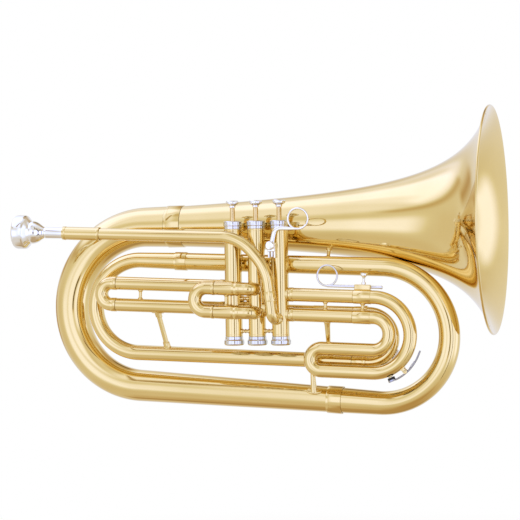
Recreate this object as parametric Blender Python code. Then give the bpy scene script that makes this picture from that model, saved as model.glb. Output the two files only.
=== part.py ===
"""Marching baritone: a three-valve brass instrument with a forward bell.

Metres, +Z up. The origin is the middle of the second valve casing's axis.
+X points along the bell axis to its mouth, and +Y to the bell's side.
"""

import math

import bmesh
import bpy
from mathutils import Matrix, Vector

MM = 0.001

# Bell: the flare follows a horn law from its small end to its rim
bell_end_x = -98.5 * MM
bell_length = 357 * MM
bell_rim_radius = 127 * MM
bell_axis_z = 65.2 * MM
bell_flare_length = 34 * MM
bell_flare_power = 0.69
bell_wall = 0.9 * MM
bell_bead_radius = 2.2 * MM
bell_to_bow_clearance = 1.2 * MM
bell_to_valve_clearance = 7 * MM
bell_ferrule_length = 19.5 * MM

# Large tubing: outer radii along the wrap, from the bell towards the valves
bow_wall = 0.8 * MM
left_bow_top_radius = 22.9 * MM
left_bow_side_radius = 20.0 * MM
left_bow_bottom_radius = 18.1 * MM
bottom_tube_end_radius = 15.1 * MM
right_bow_bottom_radius = 13.2 * MM
right_bow_top_radius = 10.5 * MM
upper_branch_radius = 9.6 * MM
inner_bow_radius = 8.7 * MM
return_tube_radius = 8.2 * MM
ferrule_wall = 0.8 * MM
bottom_tube_tilt = math.radians(3.66)
bottom_tube_z = -127.1 * MM
bottom_tube_left_depth = 38.5 * MM
bottom_tube_right_depth = 27 * MM
left_bow_reach = -235.5 * MM
bottom_ferrule_x = 73 * MM
bottom_ferrule_length = 17 * MM
right_bow_reach = 211.5 * MM

# Small tubing: every leg of the valve section runs at this tilt to the bell axis
tubing_tilt = math.radians(2.4)
slide_outer_radius = 7.5 * MM
slide_wall = 0.6 * MM
slide_ferrule_radius = 7.9 * MM
fit_gap = 0.3 * MM
side_clearance = 1.5 * MM
cut_margin = 1 * MM

# Valves
valve_pitch = 26.9 * MM
casing_radius = 9.6 * MM
casing_wall = 0.9 * MM
casing_top_z = 66 * MM
casing_bottom_z = -67 * MM
casing_thread_depth = 0.6 * MM
valve_stroke = 14 * MM
port_reach = 10.1 * MM
port_radius = 7.2 * MM
port_bore_radius = 5.6 * MM
passage_radius = 4.5 * MM
passage_overshoot = 1.2
knuckle_z = -28 * MM
casing_brace_z = -54 * MM
casing_brace_radius = 1.9 * MM
cap_skirt = 0.7 * MM
cap_grip_step = 0.3 * MM
top_cap_height = 9 * MM
top_cap_plate = 2.6 * MM
top_cap_neck_height = 3.0 * MM
top_cap_neck_step = 0.2 * MM
top_cap_shoulder = 0.6 * MM
top_cap_chamfer = 1.0 * MM
top_cap_well_width = 3.0 * MM
top_cap_well_depth = 0.8 * MM
bottom_cap_height = 10 * MM
bottom_cap_flange_radius = 11.1 * MM
bottom_cap_floor = 2.6 * MM
bottom_cap_neck_height = 3.0 * MM
bottom_cap_shoulder = 1.4 * MM
bottom_cap_round = 2.0 * MM
bottom_cap_dish_radius = 4.0 * MM
bottom_cap_dish_depth = 0.8 * MM
bottom_cap_vent_radius = 1.2 * MM
piston_bottom_z = -51 * MM
piston_top_z = 62.9 * MM
piston_edge = 0.5 * MM
spring_box_floor_z = 24 * MM
spring_box_wall = 1.2 * MM
guide_z = 37 * MM
guide_height = 2 * MM
guide_bore_radius = 1.5 * MM
guide_ear_width = 2.8 * MM
guide_ear_height = 1.6 * MM
guide_ear_root = 2 * MM
spring_wire_radius = 0.45 * MM
spring_coil_radius = 5.6 * MM
spring_turns = 5
stem_radius = 2.75 * MM
stem_lid_height = 1.6 * MM
stem_lid_inset = 0.2 * MM
stem_spigot_height = 1.5 * MM
button_radius = 7.25 * MM
button_height = 7.9 * MM
button_underside_z = 83.9 * MM
button_collar_wall = 0.9 * MM
button_collar_height = 2.0 * MM
button_flare_height = 1.4 * MM
button_edge = 0.8 * MM
button_rim_width = 0.9 * MM
button_dish_depth = 0.6 * MM

# Leadpipe and mouthpiece
leadpipe_radius = 6.65 * MM
leadpipe_wall = 0.9 * MM
leadpipe_start_step = 0.5 * MM
leadpipe_start_gap = 1 * MM
leadpipe_w = 49.7 * MM
leadpipe_port_z = -40 * MM
leadpipe_port_angle = math.radians(254.6)
leadpipe_first_corner_s = -16 * MM
leadpipe_second_corner = (16.2 * MM, 14.6 * MM)
leadpipe_first_bend = 48 * MM
leadpipe_second_bend = 58 * MM
receiver_start_s = -224.2 * MM
receiver_end_s = -180 * MM
receiver_radius = 7.65 * MM
receiver_collar_length = 4 * MM
receiver_collar_step = 0.3 * MM
receiver_chamfer = 1.0 * MM
receiver_shoulder = 1.2 * MM
receiver_slack = 0.2 * MM
mouthpiece_length = 80 * MM
mouthpiece_insertion = 22.5 * MM
mouthpiece_rim_radius = 19.3 * MM
mouthpiece_rim_height = 12.5 * MM
mouthpiece_rim_round = 2.6 * MM
mouthpiece_bite_width = 1.6 * MM
mouthpiece_chamfer = 1.6 * MM
mouthpiece_neck_s = 19 * MM
mouthpiece_bead = 2 * MM
mouthpiece_cup_radius = 12.8 * MM
mouthpiece_cup_depth = 31 * MM
mouthpiece_cup_power = 0.8
mouthpiece_groove_s = 34.5 * MM
mouthpiece_groove_depth = 0.6 * MM
mouthpiece_shank_radius = 6.2 * MM
mouthpiece_shank_taper = 0.6 * MM
mouthpiece_shank_wall = 0.9 * MM
mouthpiece_throat_radius = 3.3 * MM

# Tuning slide behind the valves: s runs along the tubing, w across it
tuning_upper_w = -31.0 * MM
return_w = -84.7 * MM
tuning_seam_s = 107 * MM
tuning_bow_s = 125 * MM
tuning_leg_length = 45 * MM
tuning_ferrule_length = 12 * MM

# Upper branch and inner left bow
branch_w = 21.0 * MM
branch_depth = 20.5 * MM
branch_start_s = -94.7 * MM
upper_ferrule_length = 14 * MM
inner_bow_reach_s = -195.9 * MM

# First valve slide
first_upper_w = -5.6 * MM
first_lower_w = -30.0 * MM
first_seam_s = -164 * MM
first_bow_s = -170.3 * MM
first_leg_length = 60 * MM
first_brace_s = -136 * MM

# Second valve slide
second_upper_w = -7.1 * MM
second_lower_w = -33.3 * MM
second_seam_s = -42.5 * MM
second_bow_s = -52.7 * MM
second_leg_length = 28 * MM
second_ferrule_length = 3 * MM

# Third valve slide
third_upper_w = -12.0 * MM
third_lower_w = -34.2 * MM
third_inner_w = -70.2 * MM
third_bottom_w = -94.9 * MM
third_seam_s = 110.5 * MM
third_ferrule_length = 19.5 * MM
third_bow_s = 133.2 * MM
third_u_s = 76.0 * MM
third_leg_length = 64 * MM
third_brace_s = 79 * MM
third_moving_brace_s = 121 * MM

# Slide fittings
port_ferrule_length = 5 * MM
receiver_step = 1 * MM
leg_end_gap = 1.5 * MM

# Finger ring on the third slide
ring_radius = 11.3 * MM
ring_wire_radius = 1.05 * MM
ring_s = 80.2 * MM
ring_rod_radius = 1.6 * MM
ring_rod_end_s = 142.7 * MM
ring_clamp_s = 111.5 * MM
ring_clamp_length = 18.0 * MM
ring_clamp_width = 6.4 * MM
ring_clamp_wall = 0.7 * MM
ring_clamp_edge = 0.5 * MM
ring_screw_s = 121.5 * MM
ring_screw_shoulder = (2.5 * MM, 2.2 * MM)
ring_screw_neck = (1.5 * MM, 5.8 * MM)
ring_screw_head = (4.6 * MM, 5.2 * MM)

# Little-finger ring at the third valve
pinky_rod_x = 21.5 * MM
pinky_rod_radius = 1.4 * MM
pinky_clamp_size = (8.4 * MM, 6.6 * MM, 17 * MM)
pinky_clamp_z = 35.5 * MM
pinky_clamp_edge = 0.6 * MM
pinky_notch = (4.6 * MM, 7 * MM)
pinky_rod_bottom_z = 28 * MM
pinky_bend_z = 58 * MM
pinky_bend_radius = 10 * MM
pinky_ring_centre = (51.5 * MM, 69.8 * MM)
pinky_ring_radius = 11.3 * MM
pinky_ring_joint = math.radians(215)
pinky_wire_radius = 1.2 * MM
pinky_screw_z = 40.7 * MM
pinky_screw_shoulder = (2.6 * MM, 1.6 * MM)
pinky_screw_head = (4.8 * MM, 5.2 * MM)

# Thumb screws of both rings
screw_thread_radius = 1.2 * MM
screw_head_edge = 0.8 * MM

# Water keys
third_key_angle = math.radians(-65)
tuning_key_angle = math.radians(-62)
key_spread = math.radians(19)
key_nose = math.radians(4)
key_tail = math.radians(30)
key_nipple_radius = 2.2 * MM
key_nipple_height = 1.6 * MM
key_cork_height = 2.4 * MM
key_cork_radius = 3.0 * MM
key_pivot_height = 4.4 * MM
key_pivot_radius = 1.5 * MM
key_saddle_length = 3.6 * MM
key_saddle_width = 8.4 * MM
key_ear = 1.6 * MM
key_lever_width = 3.6 * MM
key_lever_thickness = 1.4 * MM
key_lever_rise = 0.4 * MM
key_cup_share = 2.0
key_web_length = 2.2 * MM

# Braces: (radius) or (radius, length) of their rods, feet, sockets and plates
brace_radius = 1.8 * MM
brace_foot_radius = 3.4 * MM
brace_foot_height = 2.2 * MM
brace_foot_rim = 0.3
slide_brace_foot_radius = 2.7 * MM
bell_brace_z = 54 * MM
leadpipe_brace_foot_radius = 2.8 * MM
branch_brace_x = 76 * MM
return_brace_s = (-118 * MM, -107 * MM)
return_brace_radius = 2.3 * MM
return_brace_socket = (3.5 * MM, 6.5 * MM)
third_post_s = 78 * MM
third_post_top_radius = 3.7 * MM
third_post_waist_radius = 2.2 * MM
third_post_bottom_radius = 2.9 * MM
bottom_post_s = 61 * MM
bottom_post_x = 57.5 * MM
bottom_post_top_radius = 2.9 * MM
bottom_post_bottom_radius = 4.0 * MM
bottom_post_plate = (10 * MM, 5.6 * MM)
bottom_post_plate_wall = 1.2 * MM

# Facets
bell_sides = 28
bell_rings = 8
bell_ring_crowding = 2.2
bead_steps = 6
bead_turn_step = math.radians(45)
bow_sides = 16
tube_sides = 10
casing_sides = 16
small_sides = 8
port_sides = 10
valve_sides = 12
mouthpiece_sides = 16
cup_steps = 3
wire_sides = 4
ring_sides = 16
spring_wire_sides = 3
spring_turn_points = 8
key_lever_steps = 7
bow_turn_step = math.radians(22.5)
tube_turn_step = math.radians(30)
smooth_limit = math.radians(35)
merge_distance = 1e-7
tiny = 1e-6

bell_mouth_x = bell_end_x + bell_length
left_bow_start_x = bell_end_x - bell_ferrule_length
leadpipe_brace_x = bell_end_x + leadpipe_brace_foot_radius
piston_radius = casing_radius - casing_wall - fit_gap
slide_inner_radius = slide_outer_radius - slide_wall - fit_gap
slide_bore_radius = slide_inner_radius - slide_wall
front_depth = -(casing_radius + slide_outer_radius + side_clearance)
back_depth = casing_radius + slide_outer_radius + side_clearance
leadpipe_depth = -(casing_radius + leadpipe_radius + side_clearance)
valve_xs = (-valve_pitch, 0.0, valve_pitch)
receiver_bore_radius = mouthpiece_shank_radius + fit_gap

X_AXIS = Vector((1, 0, 0))
Y_AXIS = Vector((0, 1, 0))
Z_AXIS = Vector((0, 0, 1))
tube_axis = Vector((math.cos(tubing_tilt), 0, -math.sin(tubing_tilt)))
tube_up = Vector((math.sin(tubing_tilt), 0, math.cos(tubing_tilt)))
def tilted(s, w, y=0.0):
    """The point s along the small tubing's direction, w across it, at depth y."""
    return tube_axis * s + tube_up * w + Y_AXIS * y


def tilted_z(x, w):
    """The height at which the small tubing's line w passes a given x."""
    return (w - x * math.sin(tubing_tilt)) / math.cos(tubing_tilt)


def along_tubing(x, w):
    """How far along the small tubing's line w a given x lies."""
    return (x - w * math.sin(tubing_tilt)) / math.cos(tubing_tilt)


def bottom_point(x):
    """The bottom tube's axis at x: it sinks and comes forward towards the bell's mouth."""
    share = (x - left_bow_reach) / (right_bow_reach - left_bow_reach)
    depth = bottom_tube_left_depth + (bottom_tube_right_depth - bottom_tube_left_depth) * share
    return Vector((x, depth, bottom_tube_z - x * math.tan(bottom_tube_tilt)))


bottom_axis = (bottom_point(right_bow_reach) - bottom_point(left_bow_reach)).normalized()
bottom_joint_x = bottom_ferrule_x + bottom_ferrule_length / 2


def bell_radius(x):
    """The bell's outer radius at x."""
    back = max(bell_mouth_x - x, 0.0)
    return bell_rim_radius * (bell_flare_length / (back + bell_flare_length)) ** bell_flare_power


# Materials

def metal(name, colour, roughness, metallic=1.0):
    made = bpy.data.materials.new(name)
    made.use_nodes = True
    shader = made.node_tree.nodes["Principled BSDF"]
    shader.inputs["Base Color"].default_value = (*colour, 1.0)
    shader.inputs["Metallic"].default_value = metallic
    shader.inputs["Roughness"].default_value = roughness
    made.diffuse_color = (*colour, 1.0)
    return made


def make_materials():
    return {
        "brass": metal("lacquered_brass", (0.86, 0.62, 0.24), 0.12),
        "silver": metal("silver_plate", (0.88, 0.88, 0.87), 0.1),
        "nickel": metal("nickel_trim", (0.76, 0.76, 0.75), 0.15),
        "monel": metal("piston_monel", (0.66, 0.64, 0.6), 0.3),
        "steel": metal("spring_steel", (0.6, 0.6, 0.62), 0.3),
        "cork": metal("key_cork", (0.03, 0.03, 0.03), 0.8, metallic=0.0),
    }


# Meshes

def place_object(name, bm, material, origin=Vector()):
    """A named object from bm, with its origin at the given point and its normals facing out."""
    bmesh.ops.remove_doubles(bm, verts=bm.verts, dist=merge_distance)
    bmesh.ops.recalc_face_normals(bm, faces=bm.faces)
    bmesh.ops.translate(bm, vec=-Vector(origin), verts=bm.verts)
    mesh = bpy.data.meshes.new(name)
    bm.to_mesh(mesh)
    bm.free()
    mesh.shade_smooth()
    mesh.set_sharp_from_angle(angle=smooth_limit)
    made = bpy.data.objects.new(name, mesh)
    made.location = origin
    if material:
        mesh.materials.append(material)
    bpy.context.scene.collection.objects.link(made)
    return made


def as_helper(made):
    made.hide_render = True
    made.display_type = "WIRE"
    return made


def combine(target, helper, operation):
    """Adds a Boolean that joins the helper to the target, or cuts it away."""
    step = target.modifiers.new(f"{operation.lower()}_{helper.name}", "BOOLEAN")
    step.operation = operation
    step.solver = "EXACT"
    step.object = as_helper(helper)
    return target


def combine_all(target, helpers, operation):
    """Joins several helpers to the target, or cuts them away, in one exact step."""
    group = bpy.data.collections.new(f"{target.name}_{operation.lower()}")
    for helper in helpers:
        group.objects.link(as_helper(helper))
    step = target.modifiers.new(group.name, "BOOLEAN")
    step.operation = operation
    step.solver = "EXACT"
    step.operand_type = "COLLECTION"
    step.collection = group
    return target


def bend(before, corner, after, radius, turn_step):
    """Points and directions along the arc that rounds one corner."""
    back = (before - corner).normalized()
    ahead = (after - corner).normalized()
    turn = math.pi - back.angle(ahead)
    start = corner + back * radius * math.tan(turn / 2)
    centre = corner + (back + ahead).normalized() * radius / math.cos(turn / 2)
    axis = (-back).cross(ahead)
    steps = max(2, math.ceil(turn / turn_step - tiny))
    turns = [Matrix.Rotation(turn * k / steps, 3, axis) for k in range(steps + 1)]
    return [(centre + turned @ (start - centre), turned @ -back) for turned in turns]


def turn_radius(before, first, second, after):
    """The radius with which two neighbouring corners become one round bow."""
    first_turn = math.pi - (before - first).angle(second - first)
    second_turn = math.pi - (first - second).angle(after - second)
    reach = math.tan(first_turn / 2) + math.tan(second_turn / 2)
    return (second - first).length / reach


def rounded_path(corners, radii, turn_step):
    """Straight runs between corners, each corner rounded: a list of (point, direction)."""
    path = [(corners[0], (corners[1] - corners[0]).normalized())]
    for k, radius in enumerate(radii):
        path += bend(corners[k], corners[k + 1], corners[k + 2], radius, turn_step)
    path.append((corners[-1], (corners[-1] - corners[-2]).normalized()))
    kept = [path[0]]
    for step in path[1:]:
        if (step[0] - kept[-1][0]).length > tiny:
            kept.append(step)
    return kept


def chained(points):
    """A path straight from point to point, with the direction shared at each point."""
    path = []
    for k, point in enumerate(points):
        ahead = points[min(k + 1, len(points) - 1)] - point
        behind = point - points[max(k - 1, 0)]
        path.append((point, (ahead.normalized() + behind.normalized()).normalized()))
    return path


def runs(path):
    """The length of each straight run of a path."""
    return [(b[0] - a[0]).length for a, b in zip(path, path[1:])]


def with_points_at(path, marks):
    """The path as (distance, point, direction), with a point added at each mark."""
    total = sum(runs(path))
    route = [(0.0, *path[0])]
    travelled = 0.0
    wanted = sorted(mark for mark in set(marks) if tiny < mark < total - tiny)
    for (a, way_a), (b, way_b) in zip(path, path[1:]):
        length = (b - a).length
        while wanted and wanted[0] < travelled + length - tiny:
            mark = wanted.pop(0)
            if mark > travelled + tiny:
                share = (mark - travelled) / length
                route.append((mark, a.lerp(b, share), way_a.lerp(way_b, share).normalized()))
        travelled += length
        route.append((travelled, b, way_b))
    return route


def radii_at(profile, distance):
    """The radius, or the two radii of a step, that a profile has at this distance."""
    found = [radius for mark, radius in profile if abs(mark - distance) < 2 * tiny]
    if found:
        return found
    for (m0, r0), (m1, r1) in zip(profile, profile[1:]):
        if m0 < distance < m1:
            return [r0 + (r1 - r0) * (distance - m0) / (m1 - m0)]
    return [profile[0][1] if distance < profile[0][0] else profile[-1][1]]


def route_frames(route):
    """A frame for each point of the route, carried along it with no twist."""
    frames = []
    last = route[0][2]
    normal = Y_AXIS if abs(last.y) < abs(last.x) + abs(last.z) else X_AXIS
    for _, point, way in route:
        normal = last.rotation_difference(way) @ normal
        normal = (normal - way * normal.dot(way)).normalized()
        turned = Matrix((normal, way.cross(normal), way)).transposed()
        frames.append(Matrix.Translation(point) @ turned.to_4x4())
        last = way
    return frames


def ring_points(frame, radius, sides):
    """The corners of one circle in the frame's XY plane, in order."""
    turns = [math.tau * k / sides for k in range(sides)]
    return [frame @ Vector((radius * math.cos(turn), radius * math.sin(turn), 0)) for turn in turns]


def extrude_ring(bm, ring, frame, radius):
    """Extrudes a ring of vertices and sets the new ring at the frame, in the same order."""
    sides = len(ring)
    edges = [bm.edges.get((ring[k], ring[(k + 1) % sides])) for k in range(sides)]
    made = bmesh.ops.extrude_edge_only(bm, edges=edges)["geom"]
    fresh = {item for item in made if isinstance(item, bmesh.types.BMVert)}
    grown = []
    for vert, spot in zip(ring, ring_points(frame, radius, sides)):
        partner = next(edge.other_vert(vert) for edge in vert.link_edges if edge.other_vert(vert) in fresh)
        partner.co = spot
        grown.append(partner)
    return grown


def loft_rings(rings, sides):
    """A bmesh with one circle extruded through a list of (frame, radius), and its two end rings."""
    bm = bmesh.new()
    frame, radius = rings[0]
    made = bmesh.ops.create_circle(bm, segments=sides, radius=radius)
    first = made["verts"]
    for vert, spot in zip(first, ring_points(frame, radius, sides)):
        vert.co = spot
    last = first
    for frame, radius in rings[1:]:
        last = extrude_ring(bm, last, frame, radius)
    return bm, first, last


def tube_mesh(path, outer, inner, sides):
    """A hollow tube along the path. Each profile is a list of (distance, radius)."""
    marks = [mark for mark, _ in outer + inner]
    total = sum(runs(path))
    route = with_points_at(path, marks)
    frames = route_frames(route)
    shells = []
    for profile in (outer, inner):
        rings = []
        for (distance, _, _), frame in zip(route, frames):
            at_end = distance < tiny or distance > total - tiny
            radii = radii_at(profile, distance)
            rings += [(frame, radius) for radius in (radii[:1] if at_end else radii)]
        shells.append(rings)
    loop = shells[0] + shells[1][::-1]
    bm, _, _ = loft_rings(loop + loop[:1], sides)
    bmesh.ops.remove_doubles(bm, verts=bm.verts, dist=tiny)
    return bm


def capped(bm, ends):
    for ring in ends:
        bmesh.ops.contextual_create(bm, geom=ring)
    return bm


def rod_mesh(path, radius, sides):
    """A solid rod along the path, closed at both ends."""
    route = with_points_at(path, [])
    bm, first, last = loft_rings([(frame, radius) for frame in route_frames(route)], sides)
    return capped(bm, (first, last))


def axis_matrix(origin, axis):
    """The matrix that takes +Z to the axis, and the zero point to the origin."""
    return Matrix.Translation(origin) @ Vector(axis).to_track_quat("Z", "Y").to_matrix().to_4x4()


def turned_mesh(profile, sides, origin=Vector(), axis=Z_AXIS, hollow=False):
    """A turned piece: the profile's (height, radius) points spun round an axis."""
    bm = bmesh.new()
    verts = [bm.verts.new((radius, 0, height)) for height, radius in profile]
    edges = [bm.edges.new(pair) for pair in zip(verts, verts[1:])]
    if hollow:
        edges.append(bm.edges.new((verts[-1], verts[0])))
    bmesh.ops.spin(
        bm, geom=verts + edges, cent=(0, 0, 0), axis=(0, 0, 1), dvec=(0, 0, 0),
        angle=math.tau, steps=sides, use_merge=True,
    )
    bmesh.ops.remove_doubles(bm, verts=bm.verts, dist=merge_distance)
    bm.transform(axis_matrix(origin, axis))
    return bm


def box_mesh(centre, size, matrix=Matrix()):
    bm = bmesh.new()
    place = matrix @ Matrix.Translation(centre) @ Matrix.Diagonal((*size, 1))
    bmesh.ops.create_cube(bm, size=1, matrix=place)
    return bm


def bevelled_box(centre, size, edge, matrix=Matrix()):
    bm = box_mesh(centre, size, matrix)
    bmesh.ops.bevel(
        bm, geom=list(bm.edges), offset=edge, offset_type="OFFSET", affect="EDGES",
        segments=1, profile=0.5, material=-1,
    )
    return bm


def torus_mesh(centre, axis, radius, wire, sides, wire_steps):
    bm = bmesh.new()
    start = Matrix.Translation((radius, 0, 0)) @ Matrix.Rotation(math.pi / 2, 4, "X")
    made = bmesh.ops.create_circle(bm, segments=wire_steps, radius=wire, matrix=start)
    verts = made["verts"]
    edges = list(bm.edges)
    bmesh.ops.spin(
        bm, geom=verts + edges, cent=(0, 0, 0), axis=(0, 0, 1), dvec=(0, 0, 0),
        angle=math.tau, steps=sides, use_merge=True,
    )
    bm.transform(axis_matrix(centre, axis))
    return bm


def cylinder_helper(name, origin, axis, start, end, radius, sides):
    profile = [(start, 0), (start, radius), (end, radius), (end, 0)]
    return place_object(name, turned_mesh(profile, sides, origin, axis), None)


# Bell and large bows

def right_bow_path():
    top_x = right_bow_reach
    corners = [
        tilted(branch_start_s + fit_gap / 2, branch_w, branch_depth),
        Vector((top_x, branch_depth, tilted_z(top_x, branch_w))),
        bottom_point(top_x),
        bottom_point(bottom_joint_x + fit_gap / 2),
    ]
    radius = turn_radius(*corners)
    return rounded_path(corners, [radius, radius], bow_turn_step)


def right_bow_profile(path):
    lengths = runs(path)
    total = sum(lengths)
    return [
        (0, upper_branch_radius),
        (lengths[0], right_bow_top_radius),
        (total - lengths[-1], right_bow_bottom_radius),
        (total, bottom_tube_end_radius - ferrule_wall),
    ]


def bell_depth():
    """How far behind the valves the bell has to lie to clear the right bow and the casings."""
    path = right_bow_path()
    profile = right_bow_profile(path)
    valve_side = bell_radius(valve_xs[2] + casing_radius)
    depth = max(branch_depth, valve_side + casing_radius + bell_to_valve_clearance)
    for distance, point, _ in with_points_at(path, []):
        tube = radii_at(profile, distance)[0]
        reach = bell_radius(point.x) + tube + bell_to_bow_clearance
        drop = bell_axis_z - point.z
        if abs(drop) < reach:
            depth = max(depth, point.y + math.sqrt(reach * reach - drop * drop))
    return depth


bell_y = bell_depth()


def thinner(profile, wall):
    return [(mark, radius - wall) for mark, radius in profile]


def make_bell(mats):
    """The flare, with a wire rolled into its rim: the wire's front facet is the mouth's flat face."""
    bead_x = bell_mouth_x - bell_bead_radius
    bead_centre = bell_rim_radius - bell_bead_radius
    outer = []
    for k in range(bell_rings + 1):
        share = (1 - k / bell_rings) ** bell_ring_crowding
        x = bead_x + (bell_end_x - bead_x) * share
        outer.append((x, bell_radius(x)))
    corner = bell_bead_radius / math.cos(bead_turn_step / 2)
    bead = []
    for k in range(bead_steps + 1):
        turn = math.radians(270) - bead_turn_step * (k + 0.5)
        bead.append((bead_x + corner * math.cos(turn), bead_centre + corner * math.sin(turn)))
    inner = [(x, radius - bell_wall) for x, radius in outer[::-1]]
    bm = turned_mesh(
        [(x - bell_end_x, radius) for x, radius in outer + bead + inner], bell_sides,
        Vector((bell_end_x, bell_y, bell_axis_z)), X_AXIS, hollow=True,
    )
    place_object("bell", bm, mats["brass"])


def sleeve(name, centre, axis, length, over_radius, mats, sides=bow_sides, wall=ferrule_wall):
    """A ferrule: a sleeve with bevelled ends round a joint of two tubes."""
    inside = over_radius + fit_gap
    outside = inside + wall
    half = length / 2
    edge = wall / 2
    profile = [
        (-half, inside), (-half, outside - edge), (-half + edge, outside),
        (half - edge, outside), (half, outside - edge), (half, inside),
    ]
    place_object(name, turned_mesh(profile, sides, centre, axis, hollow=True), mats["brass"])


def make_left_bow(mats):
    """The widest bow, from the bell's small end down to the bottom tube."""
    corners = [
        Vector((left_bow_start_x, bell_y, bell_axis_z)),
        Vector((left_bow_reach, bell_y, bell_axis_z)),
        bottom_point(left_bow_reach),
        bottom_point(bottom_joint_x - fit_gap / 2),
    ]
    radius = turn_radius(*corners)
    path = rounded_path(corners, [radius, radius], bow_turn_step)
    lengths = runs(path)
    total = sum(lengths)
    small_end = bell_radius(bell_end_x)
    steepest = min(range(len(path)), key=lambda k: path[k][1].z)
    outer = [
        (0, small_end),
        (lengths[0], left_bow_top_radius),
        (sum(lengths[:steepest]), left_bow_side_radius),
        (total - lengths[-1], left_bow_bottom_radius),
        (total, bottom_tube_end_radius - ferrule_wall),
    ]
    bm = tube_mesh(path, outer, thinner(outer, bow_wall), bow_sides)
    place_object("left_bow", bm, mats["brass"])

    half = bell_ferrule_length / 2 - fit_gap
    centre = Vector((bell_end_x - bell_ferrule_length / 2, bell_y, bell_axis_z))
    inside = small_end - bow_wall
    edge = ferrule_wall / 2
    profile = [
        (-half, inside), (-half, small_end + edge), (-half + edge, small_end + ferrule_wall),
        (half - edge, small_end + ferrule_wall), (half, small_end + edge), (half, inside),
    ]
    bm = turned_mesh(profile, bow_sides, centre, X_AXIS, hollow=True)
    place_object("bell_ferrule", bm, mats["brass"])


def make_right_bow(mats):
    """The narrower bow under the bell's mouth, with the upper branch, and its ferrule."""
    path = right_bow_path()
    outer = right_bow_profile(path)
    bm = tube_mesh(path, outer, thinner(outer, bow_wall), bow_sides)
    place_object("right_bow", bm, mats["brass"])
    sleeve(
        "bottom_ferrule", bottom_point(bottom_joint_x), bottom_axis,
        bottom_ferrule_length, bottom_tube_end_radius - ferrule_wall / 2, mats,
    )


def make_inner_left_bow(mats):
    """The bow behind the valves' left side and the return tube below them."""
    corners = [
        tilted(branch_start_s - fit_gap / 2, branch_w, branch_depth),
        tilted(inner_bow_reach_s, branch_w, branch_depth),
        tilted(inner_bow_reach_s, return_w, back_depth),
        tilted(tuning_seam_s, return_w, back_depth),
    ]
    radius = turn_radius(*corners)
    path = rounded_path(corners, [radius, radius], bow_turn_step)
    lengths = runs(path)
    total = sum(lengths)
    outer = [
        (0, upper_branch_radius), (lengths[0], inner_bow_radius),
        (total - lengths[-1], inner_bow_radius), (total, return_tube_radius),
    ]
    mouth = return_tube_radius - slide_wall
    inner = [
        (0, upper_branch_radius - bow_wall), (lengths[0], inner_bow_radius - bow_wall),
        (total - tuning_leg_length - fit_gap, mouth - fit_gap), (total, mouth),
    ]
    bm = tube_mesh(path, outer, inner, bow_sides)
    place_object("inner_left_bow", bm, mats["brass"])
    sleeve(
        "upper_ferrule", tilted(branch_start_s, branch_w, branch_depth), tube_axis,
        upper_ferrule_length, upper_branch_radius, mats,
    )


# Slides: the moving legs are narrower than the bow and run inside the fixed tubes

def slide_bow(name, corners, leg, ferrule, mats):
    """One slide: leg, ferrule, bow, ferrule, leg. leg and ferrule are their lengths."""
    radii = []
    for k in range(1, len(corners) - 2, 2):
        radius = turn_radius(*corners[k - 1:k + 3])
        radii += [radius, radius]
    path = rounded_path(corners, radii, tube_turn_step)
    total = sum(runs(path))
    outer = [
        (0, slide_inner_radius), (leg, slide_inner_radius), (leg, slide_ferrule_radius),
        (leg + ferrule, slide_ferrule_radius), (leg + ferrule, slide_outer_radius),
        (total - leg - ferrule, slide_outer_radius), (total - leg - ferrule, slide_ferrule_radius),
        (total - leg, slide_ferrule_radius), (total - leg, slide_inner_radius),
        (total, slide_inner_radius),
    ]
    inner = [(0, slide_bore_radius), (total, slide_bore_radius)]
    bm = tube_mesh(path, outer, inner, tube_sides)
    return place_object(name, bm, mats["brass"], origin=path[0][0])


def receiver_profiles(length):
    outer = [
        (0, slide_ferrule_radius), (port_ferrule_length, slide_ferrule_radius),
        (port_ferrule_length, slide_outer_radius), (length, slide_outer_radius),
    ]
    inner = [(0, slide_outer_radius - slide_wall), (length, slide_outer_radius - slide_wall)]
    return outer, inner


def mirrored_ends(half_profile, length):
    """A (height, radius) profile with the same end at both sides of its length."""
    return half_profile + [(length - height, radius) for height, radius in half_profile[::-1]]


def flared_rod(length, radius=brace_radius, foot=brace_foot_radius):
    """A round rod with a flared foot at each end."""
    foot_height = min(brace_foot_height, length / 3)
    rim = foot_height * brace_foot_rim
    return mirrored_ends([(0, 0), (0, foot), (rim, foot), (foot_height, radius)], length)


def socketed_rod(length):
    """A round rod whose ends stand in sockets."""
    socket_radius, socket_length = return_brace_socket
    return mirrored_ends(
        [(0, 0), (0, socket_radius), (socket_length, socket_radius), (socket_length, return_brace_radius)],
        length,
    )


def waisted_post(length):
    """A post that narrows from both of its ends."""
    return [
        (0, 0), (0, third_post_top_radius), (length / 2, third_post_waist_radius),
        (length, third_post_bottom_radius), (length, 0),
    ]


def tapered_post(length):
    return [(0, 0), (0, bottom_post_top_radius), (length, bottom_post_bottom_radius), (length, 0)]


def spool(name, start, end, mats, shape=flared_rod, **sizes):
    """A brace from start to end: shape gives the profile for its length."""
    span = end - start
    profile = shape(span.length, **sizes)
    return place_object(name, turned_mesh(profile, small_sides, start, span.normalized()), mats["brass"])


def standoff(radius, angle, foot):
    """How far from a tube's axis a flat foot has to start so that its rim clears the tube."""
    return (radius + fit_gap) / math.sin(angle) + foot * abs(math.cos(angle)) / math.sin(angle)


def brace_between(name, a, a_axis, a_radius, b, b_axis, b_radius, mats, feet, shape=flared_rod, **sizes):
    """A brace from the surface of one tube to the surface of another. feet are its end radii."""
    along = (b - a).normalized()
    leave = standoff(a_radius, along.angle(a_axis), feet[0])
    arrive = standoff(b_radius, along.angle(b_axis), feet[1])
    return spool(name, a + along * leave, b - along * arrive, mats, shape, **sizes)


def facet_grip(radius):
    """How far from a faceted tube's axis a soldered piece ends, inside the tube's wall."""
    return radius * math.cos(math.pi / tube_sides) - slide_wall / 3


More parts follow.
